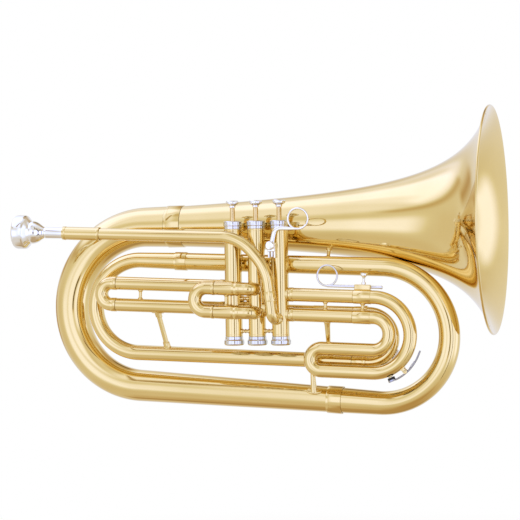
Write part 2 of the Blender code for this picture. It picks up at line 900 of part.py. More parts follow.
def receiver_pair(name, valve_x, end_s, upper_w, lower_w, brace_s, mats):
    """Two fixed outer tubes of a slide, from a valve to the slide, and the brace that joins them."""
    made = []
    away = math.copysign(port_reach + fit_gap, valve_x)
    for label, w in ((name, upper_w), (f"{name}_lower", lower_w)):
        path = chained([tilted(along_tubing(valve_x, w) + away, w), tilted(end_s, w)])
        outer, inner = receiver_profiles(sum(runs(path)))
        made.append(place_object(label, tube_mesh(path, outer, inner, tube_sides), mats["brass"]))
    wall_grip = facet_grip(slide_outer_radius)
    brace = spool(
        f"{name}_brace", tilted(brace_s, upper_w - wall_grip), tilted(brace_s, lower_w + wall_grip), mats,
        foot=slide_brace_foot_radius,
    )
    combine(made[0], brace, "UNION")
    combine(made[0], made[1], "UNION")


def make_first_slide(mats):
    receiver_pair(
        "first_slide_receivers", valve_xs[0], first_seam_s, first_upper_w, first_lower_w,
        first_brace_s, mats,
    )
    reach = first_bow_s - (first_upper_w - first_lower_w) / 2
    seam = first_seam_s - fit_gap
    leg = first_leg_length
    corners = [
        tilted(seam + leg, first_upper_w), tilted(reach, first_upper_w),
        tilted(reach, first_lower_w), tilted(seam + leg, first_lower_w),
    ]
    slide_bow("first_slide", corners, leg, seam - first_bow_s, mats)


def elbow_receiver(name, port, corner, end, leg, mats):
    """A fixed outer tube that leaves a valve, turns along the tubing and takes a slide's leg."""
    path = rounded_path([port, corner, end], [(corner - port).length], tube_turn_step)
    total = sum(runs(path))
    widens = total - leg - receiver_step
    outer = [
        (0, port_radius), (widens, port_radius),
        (widens + receiver_step, slide_outer_radius), (total, slide_outer_radius),
    ]
    inner = [
        (0, port_bore_radius), (widens, port_bore_radius),
        (widens + receiver_step / 2, slide_outer_radius - slide_wall),
        (total, slide_outer_radius - slide_wall),
    ]
    place_object(name, tube_mesh(path, outer, inner, tube_sides), mats["brass"])


def make_second_slide(mats):
    """The short slide in front of the valves."""
    x = valve_xs[1]
    for label, w in (("upper", second_upper_w), ("lower", second_lower_w)):
        z = tilted_z(x, w)
        elbow_receiver(
            f"second_receiver_{label}", Vector((x, -port_reach - fit_gap, z)), Vector((x, front_depth, z)),
            tilted(second_seam_s, w, front_depth), second_leg_length, mats,
        )
    reach = second_bow_s - (second_upper_w - second_lower_w) / 2
    leg_end = second_seam_s - fit_gap + second_leg_length - leg_end_gap
    corners = [
        tilted(leg_end, second_upper_w, front_depth), tilted(reach, second_upper_w, front_depth),
        tilted(reach, second_lower_w, front_depth), tilted(leg_end, second_lower_w, front_depth),
    ]
    slide_bow("second_slide", corners, second_leg_length - leg_end_gap, second_ferrule_length, mats)


def water_key(prefix, centre, bow_radius, depth, angle, mats, slide):
    """A spill key on the outside of a bow: a nipple and a saddle on the slide, a cork and a lever."""
    tube_radius = slide_outer_radius

    def outward(turn):
        return tube_axis * math.cos(turn) + tube_up * math.sin(turn)

    def at(turn, radius):
        return centre + outward(turn) * (bow_radius + radius) + Y_AXIS * depth

    pivot_turn = angle + key_spread
    chord_drop = (bow_radius + tube_radius) * (1 - math.cos(tube_turn_step / 2))
    root = facet_grip(tube_radius) - chord_drop
    nipple = cylinder_helper(
        f"{prefix}_nipple", at(angle, 0), outward(angle), root, tube_radius + key_nipple_height,
        key_nipple_radius, small_sides,
    )
    combine(slide, nipple, "UNION")
    pivot = at(pivot_turn, tube_radius + key_pivot_height)
    out = outward(pivot_turn)
    across = Matrix((out.cross(Y_AXIS), Y_AXIS, out)).transposed().to_4x4()
    high = tube_radius + key_pivot_height + key_pivot_radius
    foot = Matrix.Translation(at(pivot_turn, 0)) @ across
    ears = box_mesh(
        Vector((0, 0, (root + high) / 2)), (key_saddle_length, key_saddle_width, high - root), foot,
    )
    combine(slide, place_object(f"{prefix}_saddle", ears, None), "UNION")
    slot_low = tube_radius + key_pivot_height - key_pivot_radius - 2 * fit_gap
    slot_high = high + cut_margin
    slot = box_mesh(
        Vector((0, 0, (slot_low + slot_high) / 2)),
        (key_saddle_length + 2 * cut_margin, key_saddle_width - 2 * key_ear, slot_high - slot_low), foot,
    )
    combine(slide, place_object(f"{prefix}_slot", slot, None), "DIFFERENCE")

    cork_low = tube_radius + key_nipple_height + fit_gap
    cork_high = cork_low + key_cork_height
    profile = [(cork_low, 0), (cork_low, key_cork_radius), (cork_high, key_cork_radius), (cork_high, 0)]
    cork = turned_mesh(profile, small_sides, at(angle, 0), outward(angle))
    place_object(f"{prefix}_cork", cork, mats["cork"], origin=pivot)

    lever_radius = cork_high + fit_gap + key_lever_thickness / 2
    start_turn = angle - key_nose
    end_turn = pivot_turn + key_tail
    sections = []
    for k in range(key_lever_steps + 1):
        share = k / key_lever_steps
        turn = start_turn + (end_turn - start_turn) * share
        rise = math.sin(math.pi * share) * key_lever_rise
        out = outward(turn)
        width = key_lever_width * (key_cup_share if k == 0 else 1)
        face = Matrix((Y_AXIS, out, Y_AXIS.cross(out))).transposed().to_4x4()
        section = Matrix.Diagonal((width, key_lever_thickness, 1, 1)) @ Matrix.Rotation(math.pi / 4, 4, "Z")
        spot = Matrix.Translation(at(turn, lever_radius + rise))
        sections.append((spot @ face @ section, math.sqrt(0.5)))
    bm, first, last = loft_rings(sections, 4)
    lever = place_object(f"{prefix}_lever", capped(bm, (first, last)), mats["nickel"], origin=pivot)
    half = key_saddle_width / 2 - key_ear - fit_gap
    barrel = cylinder_helper(f"{prefix}_barrel", pivot, Y_AXIS, -half, half, key_pivot_radius, small_sides)
    combine(lever, barrel, "UNION")
    rise = lever_radius - tube_radius - key_pivot_height
    web = box_mesh(
        Vector((0, 0, rise / 2)),
        (key_web_length, key_lever_width - fit_gap, abs(rise) + key_lever_thickness / 2),
        Matrix.Translation(pivot) @ across,
    )
    combine(lever, place_object(f"{prefix}_web", web, None), "UNION")


def make_third_slide(mats):
    receiver_pair(
        "third_slide_receivers", valve_xs[2], third_seam_s, third_upper_w, third_lower_w,
        third_brace_s, mats,
    )
    seam = third_seam_s + fit_gap
    leg = third_leg_length
    outer_reach = third_bow_s + (third_upper_w - third_bottom_w) / 2
    inner_reach = third_bow_s + (third_lower_w - third_inner_w) / 2
    u_reach = third_u_s - (third_inner_w - third_bottom_w) / 2
    corners = [
        tilted(seam - leg, third_upper_w), tilted(outer_reach, third_upper_w),
        tilted(outer_reach, third_bottom_w), tilted(u_reach, third_bottom_w),
        tilted(u_reach, third_inner_w), tilted(inner_reach, third_inner_w),
        tilted(inner_reach, third_lower_w), tilted(seam - leg, third_lower_w),
    ]
    slide = slide_bow("third_slide", corners, leg, third_ferrule_length, mats)
    grip = facet_grip(slide_ferrule_radius)
    brace = spool(
        "third_slide_brace", tilted(third_moving_brace_s, third_upper_w - grip),
        tilted(third_moving_brace_s, third_lower_w + grip), mats, foot=slide_brace_foot_radius,
    )
    combine(slide, brace, "UNION")
    centre = tilted(third_bow_s, (third_upper_w + third_bottom_w) / 2)
    radius = (third_upper_w - third_bottom_w) / 2
    water_key("third_key", centre, radius, 0.0, third_key_angle, mats, slide)


def make_tuning_slide(mats):
    """The main tuning slide, behind the valves, with its upper fixed tube."""
    x = valve_xs[0]
    z = tilted_z(x, tuning_upper_w)
    elbow_receiver(
        "tuning_receiver", Vector((x, port_reach + fit_gap, z)), Vector((x, back_depth, z)),
        tilted(tuning_seam_s, tuning_upper_w, back_depth), tuning_leg_length, mats,
    )
    seam = tuning_seam_s + fit_gap
    leg = tuning_leg_length - leg_end_gap
    reach = tuning_bow_s + (tuning_upper_w - return_w) / 2
    corners = [
        tilted(seam - leg, tuning_upper_w, back_depth), tilted(reach, tuning_upper_w, back_depth),
        tilted(reach, return_w, back_depth), tilted(seam - leg, return_w, back_depth),
    ]
    slide = slide_bow("tuning_slide", corners, leg, tuning_ferrule_length, mats)
    centre = tilted(tuning_bow_s, (tuning_upper_w + return_w) / 2)
    radius = (tuning_upper_w - return_w) / 2
    water_key("tuning_key", centre, radius, back_depth, tuning_key_angle, mats, slide)


# Finger rings

def thumb_screw(tip, face, parts, head):
    """A thumb screw's profile: its thread up to the face, plain parts and a head, as (radius, length)."""
    profile = [(tip, 0), (tip, screw_thread_radius), (face, screw_thread_radius)]
    height = face
    for radius, length in parts:
        profile += [(height, radius), (height + length, radius)]
        height += length
    radius, length = head
    edge = screw_head_edge
    profile += [
        (height + 2 * edge, radius - edge), (height + 3 * edge, radius), (height + length - edge, radius),
        (height + length, radius - edge), (height + length, 0),
    ]
    return profile


def make_ring_rod(mats):
    """The ring for the left hand: its rod slides in a clamp on the third slide."""
    rod_w = third_upper_w + slide_ferrule_radius + 2 * fit_gap + ring_clamp_wall + ring_rod_radius
    block_low = third_upper_w + slide_ferrule_radius + fit_gap
    block_high = rod_w + ring_rod_radius + fit_gap + ring_clamp_wall
    matrix = Matrix((tube_axis, Y_AXIS, tube_up)).transposed().to_4x4()
    middle = ring_clamp_s + ring_clamp_length / 2
    block = bevelled_box(
        Vector((middle, 0, (block_low + block_high) / 2)),
        (ring_clamp_length, ring_clamp_width, block_high - block_low), ring_clamp_edge, matrix,
    )
    clamp = place_object("ring_clamp", block, mats["nickel"])
    bore = cylinder_helper(
        "ring_clamp_bore", tilted(middle, rod_w), tube_axis, -ring_clamp_length, ring_clamp_length,
        ring_rod_radius + fit_gap, small_sides,
    )
    combine(clamp, bore, "DIFFERENCE")
    tap = cylinder_helper(
        "ring_clamp_tap", tilted(ring_screw_s, rod_w), tube_up, 0, block_high - rod_w + cut_margin,
        screw_thread_radius + fit_gap, small_sides,
    )
    combine(clamp, tap, "DIFFERENCE")

    ends = [tilted(ring_s, rod_w), tilted(ring_rod_end_s, rod_w)]
    rod = rod_mesh(chained(ends), ring_rod_radius, small_sides)
    ring_rod = place_object("ring_rod", rod, mats["nickel"], origin=tilted(middle, rod_w))
    ring_centre = tilted(ring_s, rod_w + ring_radius)
    loop = torus_mesh(ring_centre, Y_AXIS, ring_radius, ring_wire_radius, ring_sides, wire_sides)
    combine(ring_rod, place_object("ring_loop", loop, None), "UNION")

    tip = tilted(ring_screw_s, rod_w + ring_rod_radius + fit_gap)
    face = block_high + fit_gap - (rod_w + ring_rod_radius + fit_gap)
    profile = thumb_screw(0, face, [ring_screw_shoulder, ring_screw_neck], ring_screw_head)
    place_object("ring_screw", turned_mesh(profile, small_sides, tip, tube_up), mats["nickel"], origin=tip)


def make_pinky_ring(mats):
    """The little-finger ring: its rod stands in a clamp on the third casing."""
    size = pinky_clamp_size
    rod_y = -(casing_radius + fit_gap + size[1] / 2)
    middle = Vector((pinky_rod_x, rod_y, pinky_clamp_z))
    clamp = place_object("pinky_clamp", bevelled_box(middle, size, pinky_clamp_edge), mats["nickel"])
    notch_width, notch_height = pinky_notch
    bottom = Vector((pinky_rod_x, rod_y, pinky_clamp_z - size[2] / 2))
    notch = box_mesh(bottom, (notch_width, size[1] * 2, notch_height * 2))
    combine(clamp, place_object("pinky_notch", notch, None), "DIFFERENCE")
    bore = cylinder_helper(
        "pinky_bore", middle, Z_AXIS, -size[2], size[2], pinky_rod_radius + fit_gap, small_sides,
    )
    combine(clamp, bore, "DIFFERENCE")
    spot = Vector((pinky_rod_x, rod_y, pinky_screw_z))
    tap = cylinder_helper(
        "pinky_tap", spot, -Y_AXIS, 0, size[1], screw_thread_radius + fit_gap, small_sides,
    )
    combine(clamp, tap, "DIFFERENCE")

    ring_x, ring_z = pinky_ring_centre
    centre = Vector((ring_x, rod_y, ring_z))
    joint = Vector((math.cos(pinky_ring_joint), 0, math.sin(pinky_ring_joint)))
    corners = [
        Vector((pinky_rod_x, rod_y, pinky_rod_bottom_z)), Vector((pinky_rod_x, rod_y, pinky_bend_z)),
        centre + joint * pinky_ring_radius,
    ]
    path = rounded_path(corners, [pinky_bend_radius], tube_turn_step)
    hook = place_object(
        "pinky_ring", rod_mesh(path, pinky_rod_radius, small_sides), mats["nickel"], origin=corners[0],
    )
    loop = torus_mesh(centre, Y_AXIS, pinky_ring_radius, pinky_wire_radius, ring_sides, wire_sides)
    combine(hook, place_object("pinky_loop", loop, None), "UNION")

    profile = thumb_screw(
        pinky_rod_radius + fit_gap, size[1] / 2 + fit_gap, [pinky_screw_shoulder], pinky_screw_head,
    )
    screw = turned_mesh(profile, small_sides, spot, -Y_AXIS)
    place_object("pinky_screw", screw, mats["nickel"], origin=spot)


# Valves

def port_list(index):
    """The ports of one casing: (name, direction, height, reach)."""
    left, right = -X_AXIS, X_AXIS
    x = valve_xs[index]
    half_way = valve_pitch / 2 - fit_gap / 2
    knuckle_in = ("knuckle_right", right, knuckle_z, half_way)
    knuckle_out = ("knuckle_left", left, knuckle_z, half_way)
    lean = Vector((math.cos(leadpipe_port_angle), math.sin(leadpipe_port_angle), 0))
    if index == 0:
        return [
            knuckle_in,
            ("exit", Y_AXIS, tilted_z(x, tuning_upper_w), port_reach),
            ("upper", -tube_axis, tilted_z(x, first_upper_w), port_reach),
            ("lower", -tube_axis, tilted_z(x, first_lower_w), port_reach),
        ]
    if index == 1:
        return [
            knuckle_in, knuckle_out,
            ("upper", -Y_AXIS, tilted_z(x, second_upper_w), port_reach),
            ("lower", -Y_AXIS, tilted_z(x, second_lower_w), port_reach),
        ]
    return [
        knuckle_out,
        ("entry", lean, leadpipe_port_z, port_reach),
        ("upper", tube_axis, tilted_z(x, third_upper_w), port_reach),
        ("lower", tube_axis, tilted_z(x, third_lower_w), port_reach),
    ]


def passages(index):
    """Rest and pressed passages of one piston, as pairs of (direction, height at rest)."""
    ports = {name: (axis, z) for name, axis, z, _ in port_list(index)}
    lower = {name: (axis, z + valve_stroke) for name, (axis, z) in ports.items()}
    if index == 0:
        return [
            (ports["knuckle_right"], ports["exit"]),
            (lower["knuckle_right"], lower["upper"]),
            (lower["lower"], lower["exit"]),
        ]
    if index == 1:
        return [
            (ports["knuckle_right"], ports["knuckle_left"]),
            (lower["knuckle_right"], lower["lower"]),
            (lower["upper"], lower["knuckle_left"]),
        ]
    return [
        (ports["entry"], ports["knuckle_left"]),
        (lower["entry"], lower["lower"]),
        (lower["upper"], lower["knuckle_left"]),
    ]


def make_casing(index, mats):
    """A casing tube with its port stubs, bored through."""
    number = index + 1
    centre = Vector((valve_xs[index], 0, 0))
    thread = casing_radius - casing_thread_depth
    seat_top = casing_top_z + fit_gap + top_cap_plate - top_cap_height - fit_gap
    seat_bottom = casing_bottom_z - fit_gap - bottom_cap_floor + bottom_cap_height + fit_gap
    profile = [
        (casing_bottom_z, 0), (casing_bottom_z, thread), (seat_bottom, thread),
        (seat_bottom, casing_radius), (seat_top, casing_radius), (seat_top, thread),
        (casing_top_z, thread), (casing_top_z, 0),
    ]
    casing = place_object(
        f"valve_casing_{number}", turned_mesh(profile, casing_sides, centre), mats["brass"]
    )
    joins = []
    cuts = []
    root = casing_radius / 2
    for name, axis, z, reach in port_list(index):
        spot = centre + Z_AXIS * z
        stub = f"casing_{number}_{name}"
        joins.append(cylinder_helper(stub, spot, axis, root, reach, port_radius, port_sides))
        cuts.append(cylinder_helper(
            f"{stub}_bore", spot, axis, root - cut_margin, reach + cut_margin, port_bore_radius, port_sides,
        ))
    if index < 2:
        spot = centre + Z_AXIS * casing_brace_z
        joins.append(cylinder_helper(
            f"casing_{number}_brace", spot, X_AXIS, casing_radius - casing_wall / 2,
            valve_pitch - casing_radius - fit_gap, casing_brace_radius, small_sides,
        ))
    bore = cylinder_helper(
        f"casing_{number}_bore", centre, Z_AXIS, casing_bottom_z - cut_margin, casing_top_z + cut_margin,
        casing_radius - casing_wall, casing_sides,
    )
    combine_all(casing, joins, "UNION")
    combine_all(casing, [bore] + cuts, "DIFFERENCE")


def make_caps(index, mats):
    """The screwed caps at both ends of a casing."""
    number = index + 1
    centre = Vector((valve_xs[index], 0, 0))
    thread = casing_radius - casing_thread_depth + fit_gap
    outside = thread + cap_skirt
    grip = outside + cap_grip_step
    neck = outside - top_cap_neck_step
    top = casing_top_z + fit_gap + top_cap_plate
    low = top - top_cap_height
    shoulder = low + top_cap_neck_height
    hole = stem_radius + fit_gap
    well = top - top_cap_well_depth
    profile = [
        (low, thread), (low, neck), (shoulder, neck), (shoulder + top_cap_shoulder, grip),
        (top - top_cap_chamfer, grip), (top, grip - top_cap_chamfer), (top, hole + top_cap_well_width),
        (well, hole + top_cap_well_width - top_cap_well_depth), (well, hole),
        (top - top_cap_plate, hole), (top - top_cap_plate, thread),
    ]
    place_object(
        f"top_cap_{number}", turned_mesh(profile, casing_sides, centre, hollow=True), mats["nickel"]
    )
    bottom = casing_bottom_z - fit_gap - bottom_cap_floor
    high = bottom + bottom_cap_height
    shoulder = high - bottom_cap_neck_height
    flange = bottom_cap_flange_radius
    floor = bottom + bottom_cap_floor
    corner = bottom_cap_round * (1 - math.sqrt(0.5))
    dish = bottom + bottom_cap_dish_depth
    profile = [
        (high, thread), (high, outside), (shoulder, outside), (shoulder - bottom_cap_shoulder, flange),
        (bottom + bottom_cap_round, flange), (bottom + corner, flange - corner),
        (bottom, flange - bottom_cap_round), (bottom, bottom_cap_dish_radius),
        (dish, bottom_cap_dish_radius - bottom_cap_dish_depth), (dish, bottom_cap_vent_radius),
        (floor, bottom_cap_vent_radius), (floor, thread),
    ]
    place_object(
        f"bottom_cap_{number}", turned_mesh(profile, casing_sides, centre, hollow=True), mats["nickel"]
    )


def make_piston(index, mats):
    """A piston with its three passages, and the slotted spring box at its top."""
    number = index + 1
    centre = Vector((valve_xs[index], 0, 0))
    hollow = piston_radius - spring_box_wall
    profile = [
        (piston_bottom_z, 0), (piston_bottom_z, piston_radius - piston_edge),
        (piston_bottom_z + piston_edge, piston_radius), (piston_top_z, piston_radius),
        (piston_top_z, hollow), (spring_box_floor_z, hollow), (spring_box_floor_z, 0),
    ]
    piston = place_object(
        f"piston_{number}", turned_mesh(profile, valve_sides, centre), mats["monel"],
        origin=centre,
    )
    reach = piston_radius * passage_overshoot
    for k, (first, second) in enumerate(passages(index)):
        a = centre + first[0].normalized() * reach + Z_AXIS * first[1]
        b = centre + second[0].normalized() * reach + Z_AXIS * second[1]
        name = f"piston_{number}_passage_{k + 1}"
        cutter = place_object(name, rod_mesh(chained([a, b]), passage_radius, small_sides), None)
        combine(piston, cutter, "DIFFERENCE")
    slot_low = guide_z - 2 * fit_gap
    slot_high = guide_z + guide_height + valve_stroke + 2 * fit_gap
    slot = box_mesh(
        centre + Z_AXIS * (slot_low + slot_high) / 2,
        (guide_ear_width + 2 * fit_gap, 2 * (piston_radius + cut_margin), slot_high - slot_low),
    )
    combine(piston, place_object(f"piston_{number}_slot", slot, None), "DIFFERENCE")

    disc = piston_radius - spring_box_wall - fit_gap
    guide_top = guide_z + guide_height
    guide_profile = [
        (guide_z, guide_bore_radius), (guide_z, disc), (guide_top, disc), (guide_top, guide_bore_radius),
    ]
    disc_mesh = turned_mesh(guide_profile, small_sides, centre, hollow=True)
    guide = place_object(f"valve_guide_{number}", disc_mesh, mats["brass"])
    ear_reach = casing_radius - casing_wall - fit_gap
    ear_root = disc - guide_ear_root
    for label, sign in (("front", -1), ("back", 1)):
        ear = box_mesh(
            centre + Vector((0, sign * (ear_reach + ear_root) / 2, guide_z + guide_height / 2)),
            (guide_ear_width, ear_reach - ear_root, guide_ear_height),
        )
        combine(guide, place_object(f"guide_{number}_{label}_ear", ear, None), "UNION")

    spring_low = guide_top + fit_gap + spring_wire_radius
    spring_high = piston_top_z - fit_gap - spring_wire_radius
    count = spring_turns * spring_turn_points
    coil = [
        centre + Vector((
            spring_coil_radius * math.cos(math.tau * k / spring_turn_points),
            spring_coil_radius * math.sin(math.tau * k / spring_turn_points),
            spring_low + (spring_high - spring_low) * k / count,
        ))
        for k in range(count + 1)
    ]
    spring = rod_mesh(chained(coil), spring_wire_radius, spring_wire_sides)
    place_object(f"valve_spring_{number}", spring, mats["steel"])
    if index == 0:
        pitch = (spring_high - spring_low) / spring_turns
        print(f"valve spring: least gap between turns {(pitch - 2 * spring_wire_radius) / MM:.2f} mm")


def make_stem_and_button(index, mats):
    """The stem with its lid on the spring box, and the finger button on the stem's spigot."""
    number = index + 1
    centre = Vector((valve_xs[index], 0, 0))
    lid_low = piston_top_z + fit_gap
    lid_high = lid_low + stem_lid_height
    lid_radius = piston_radius - stem_lid_inset
    shoulder = button_underside_z - fit_gap
    spigot_radius = stem_radius / 2
    stem_top = shoulder + stem_spigot_height
    profile = [
        (lid_low, 0), (lid_low, lid_radius), (lid_high, lid_radius), (lid_high, stem_radius),
        (shoulder, stem_radius), (shoulder, spigot_radius), (stem_top, spigot_radius), (stem_top, 0),
    ]
    place_object(
        f"valve_stem_{number}", turned_mesh(profile, small_sides, centre), mats["brass"], origin=centre,
    )
    low = button_underside_z
    top = low + button_height
    socket = spigot_radius + fit_gap
    socket_top = stem_top + fit_gap
    collar = stem_radius + button_collar_wall
    collar_top = low + button_collar_height
    side_low = collar_top + button_flare_height
    rim_inside = button_radius - button_edge - button_rim_width
    dish = top - button_dish_depth
    profile = [
        (socket_top, 0), (socket_top, socket), (low, socket), (low, collar), (collar_top, collar),
        (side_low, button_radius - button_edge), (side_low + button_edge, button_radius),
        (top - button_edge, button_radius), (top, button_radius - button_edge),
        (top, rim_inside), (dish, rim_inside - button_dish_depth), (dish, 0),
    ]
    place_object(
        f"finger_button_{number}", turned_mesh(profile, valve_sides, centre), mats["silver"], origin=centre,
    )


# Leadpipe and mouthpiece

def make_leadpipe(mats):
    port_out = Vector((math.cos(leadpipe_port_angle), math.sin(leadpipe_port_angle), 0))
    axis_point = Vector((valve_xs[2], 0, leadpipe_port_z))
    port = axis_point + port_out * (port_reach + fit_gap)
    elbow = axis_point + port_out * (leadpipe_depth / port_out.y)
    corner_x, corner_z = leadpipe_second_corner
    second = Vector((corner_x, leadpipe_depth, corner_z))
    first = tilted(leadpipe_first_corner_s, leadpipe_w, leadpipe_depth)
    start = tilted(receiver_start_s + mouthpiece_insertion + leadpipe_start_gap, leadpipe_w, leadpipe_depth)
    elbow_radius = (elbow - port).length / math.tan((math.pi - (second - elbow).angle(port - elbow)) / 2)
    path = rounded_path(
        [start, first, second, elbow, port],
        [leadpipe_first_bend, leadpipe_second_bend, elbow_radius], bow_turn_step,
    )
    total = sum(runs(path))
    start_radius = leadpipe_radius - leadpipe_start_step
    length = receiver_end_s - receiver_start_s
    outer = [(0, start_radius), (length, leadpipe_radius), (total, leadpipe_radius)]
    inner = [(0, start_radius - leadpipe_wall), (total, leadpipe_radius - leadpipe_wall)]
    place_object("leadpipe", tube_mesh(path, outer, inner, tube_sides), mats["brass"])

    mouth = tilted(receiver_start_s, leadpipe_w, leadpipe_depth)
    barrel = receiver_radius - receiver_collar_step
    collar_end = receiver_collar_length + 2 * receiver_collar_step
    profile = [
        (0, receiver_bore_radius), (0, receiver_radius), (receiver_collar_length, receiver_radius),
        (collar_end, barrel), (length - receiver_chamfer, barrel), (length, barrel - receiver_collar_step),
        (length, leadpipe_radius + fit_gap),
        (mouthpiece_insertion + receiver_shoulder, start_radius + fit_gap + receiver_slack),
        (mouthpiece_insertion, receiver_bore_radius),
    ]
    bm = turned_mesh(profile, valve_sides, mouth, tube_axis, hollow=True)
    place_object("mouthpiece_receiver", bm, mats["brass"])


def make_mouthpiece(mats):
    """Cup mouthpiece, with its shank in the receiver."""
    rim_s = receiver_start_s - mouthpiece_length + mouthpiece_insertion
    origin = tilted(rim_s, leadpipe_w, leadpipe_depth)
    rim = mouthpiece_rim_radius
    cup = mouthpiece_cup_radius
    shank = mouthpiece_shank_radius
    throat = mouthpiece_throat_radius
    length = mouthpiece_length
    groove = mouthpiece_groove_depth
    shank_end = shank - mouthpiece_shank_taper
    outer = [
        (0, cup + mouthpiece_bite_width), (0, rim - mouthpiece_rim_round), (mouthpiece_rim_round, rim),
        (mouthpiece_rim_height, rim),
        (mouthpiece_rim_height + mouthpiece_chamfer, rim - mouthpiece_chamfer),
        (mouthpiece_neck_s, cup - groove / 2), (mouthpiece_neck_s + mouthpiece_bead, cup),
        ((mouthpiece_neck_s + mouthpiece_groove_s) / 2, cup - mouthpiece_chamfer),
        (mouthpiece_groove_s - 2 * groove, shank + groove), (mouthpiece_groove_s, shank - groove),
        (mouthpiece_groove_s + mouthpiece_bead, shank + groove / 2),
        (length - mouthpiece_insertion, shank), (length, shank_end),
    ]
    bowl = []
    for k in range(cup_steps + 1):
        share = k / cup_steps
        spread = math.sin(share * math.pi / 2) ** mouthpiece_cup_power
        depth = mouthpiece_cup_depth + (mouthpiece_rim_round / 2 - mouthpiece_cup_depth) * share
        bowl.append((depth, throat + (cup - throat) * spread))
    profile = outer + [(length, shank_end - mouthpiece_shank_wall)] + bowl
    bm = turned_mesh(profile, mouthpiece_sides, origin, tube_axis, hollow=True)
    place_object("mouthpiece", bm, mats["silver"], origin=origin)


# Braces

def bell_brace(name, start, axis, radius, foot, mats):
    """A brace that runs up to the flaring bell, and clears it with the rim of its foot."""
    seat = bell_radius(start.x + foot)
    end = Vector((start.x, bell_y, bell_axis_z))
    brace_between(name, start, axis, radius, end, X_AXIS, seat, mats, feet=(foot, foot), foot=foot)


def make_bottom_post(mats):
    """A tapered post on an oval plate that is curved to the bottom tube."""
    top = tilted(bottom_post_s, return_w, back_depth)
    seat = bottom_point(bottom_post_x)
    post = brace_between(
        "bottom_post", top, tube_axis, inner_bow_radius, seat, bottom_axis, bottom_tube_end_radius, mats,
        shape=tapered_post, feet=(bottom_post_top_radius, bottom_post_bottom_radius),
    )
    inside = bottom_tube_end_radius + fit_gap
    outside = inside + bottom_post_plate_wall
    half_length, half_width = bottom_post_plate
    shell = [(-half_length, inside), (-half_length, outside), (half_length, outside), (half_length, inside)]
    plate = place_object(
        "bottom_post_plate", turned_mesh(shell, bow_sides, seat, bottom_axis, hollow=True), mats["brass"],
    )
    up = (top - seat).normalized()
    side = up.cross(bottom_axis).normalized()
    oval = turned_mesh([(0, 0), (0, 1), (outside + cut_margin, 1), (outside + cut_margin, 0)], valve_sides)
    turned = Matrix((side.cross(up) * half_length, side * half_width, up)).transposed()
    oval.transform(Matrix.Translation(seat) @ turned.to_4x4())
    combine(plate, place_object("bottom_post_oval", oval, None), "INTERSECT")
    combine(post, plate, "UNION")


def make_braces(mats):
    brace_between(
        "return_brace",
        tilted(return_brace_s[0], first_lower_w), tube_axis, slide_outer_radius,
        tilted(return_brace_s[1], return_w, back_depth), tube_axis, inner_bow_radius, mats,
        shape=socketed_rod, feet=(return_brace_socket[0], return_brace_socket[0]),
    )
    brace_between(
        "third_slide_post",
        tilted(third_post_s, third_lower_w), tube_axis, slide_outer_radius,
        tilted(third_post_s, return_w, back_depth), tube_axis, inner_bow_radius, mats,
        shape=waisted_post, feet=(third_post_top_radius, third_post_bottom_radius),
    )
    make_bottom_post(mats)
    x = branch_brace_x
    start = Vector((x, branch_depth, tilted_z(x, branch_w)))
    bell_brace("branch_brace", start, tube_axis, right_bow_top_radius, brace_foot_radius, mats)
    x = leadpipe_brace_x
    start = Vector((x, leadpipe_depth, tilted_z(x, leadpipe_w)))
    bell_brace("leadpipe_brace", start, tube_axis, leadpipe_radius, leadpipe_brace_foot_radius, mats)
    z = bell_brace_z
    for label, x in (("front", valve_xs[2]), ("rear", valve_xs[0])):
        drop = bell_axis_z - z - brace_foot_radius
        edge = bell_y - math.sqrt(bell_radius(x + brace_foot_radius) ** 2 - drop * drop)
        spool(
            f"bell_brace_{label}", Vector((x, casing_radius + fit_gap, z)),
            Vector((x, edge - fit_gap, z)), mats,
        )


def clear_scene():
    for old in list(bpy.data.objects):
        bpy.data.objects.remove(old, do_unlink=True)


def main():
    clear_scene()
    mats = make_materials()
    make_bell(mats)
    make_left_bow(mats)
    make_right_bow(mats)
    make_inner_left_bow(mats)
    make_leadpipe(mats)
    make_mouthpiece(mats)
    for index in range(3):
        make_casing(index, mats)
        make_caps(index, mats)
        make_piston(index, mats)
        make_stem_and_button(index, mats)
    make_first_slide(mats)
    make_second_slide(mats)
    make_third_slide(mats)
    make_tuning_slide(mats)
    make_ring_rod(mats)
    make_pinky_ring(mats)
    make_braces(mats)


main()
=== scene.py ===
# Marching baritone: fine tubes, bell, valve trim and slides, made over the fixed frame.
# +Z up, +X towards the bell's mouth. s runs along the small tubing, w across it.
# Shapes are in millimetres until addPiece. A profile is a list of (distance along the axis, radius).
import math

import bmesh
import bpy
from mathutils import Matrix, Vector


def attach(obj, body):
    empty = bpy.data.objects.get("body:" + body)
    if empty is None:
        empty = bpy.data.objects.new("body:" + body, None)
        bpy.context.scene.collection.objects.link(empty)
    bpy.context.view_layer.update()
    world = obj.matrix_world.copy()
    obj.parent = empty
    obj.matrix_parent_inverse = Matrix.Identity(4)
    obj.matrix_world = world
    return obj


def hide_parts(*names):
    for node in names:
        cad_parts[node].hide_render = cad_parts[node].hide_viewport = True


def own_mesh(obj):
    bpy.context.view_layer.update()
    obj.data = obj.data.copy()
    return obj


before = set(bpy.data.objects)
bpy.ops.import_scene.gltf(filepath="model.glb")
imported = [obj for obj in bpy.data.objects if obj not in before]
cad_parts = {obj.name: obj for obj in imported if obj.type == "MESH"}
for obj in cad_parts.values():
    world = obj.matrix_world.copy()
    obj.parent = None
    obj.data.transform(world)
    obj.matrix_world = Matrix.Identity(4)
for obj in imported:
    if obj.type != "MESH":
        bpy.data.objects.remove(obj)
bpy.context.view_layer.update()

mm = 0.001
hair = 0.001  # points nearer than this are one point
xWay, yWay, zWay = Vector((1, 0, 0)), Vector((0, 1, 0)), Vector((0, 0, 1))

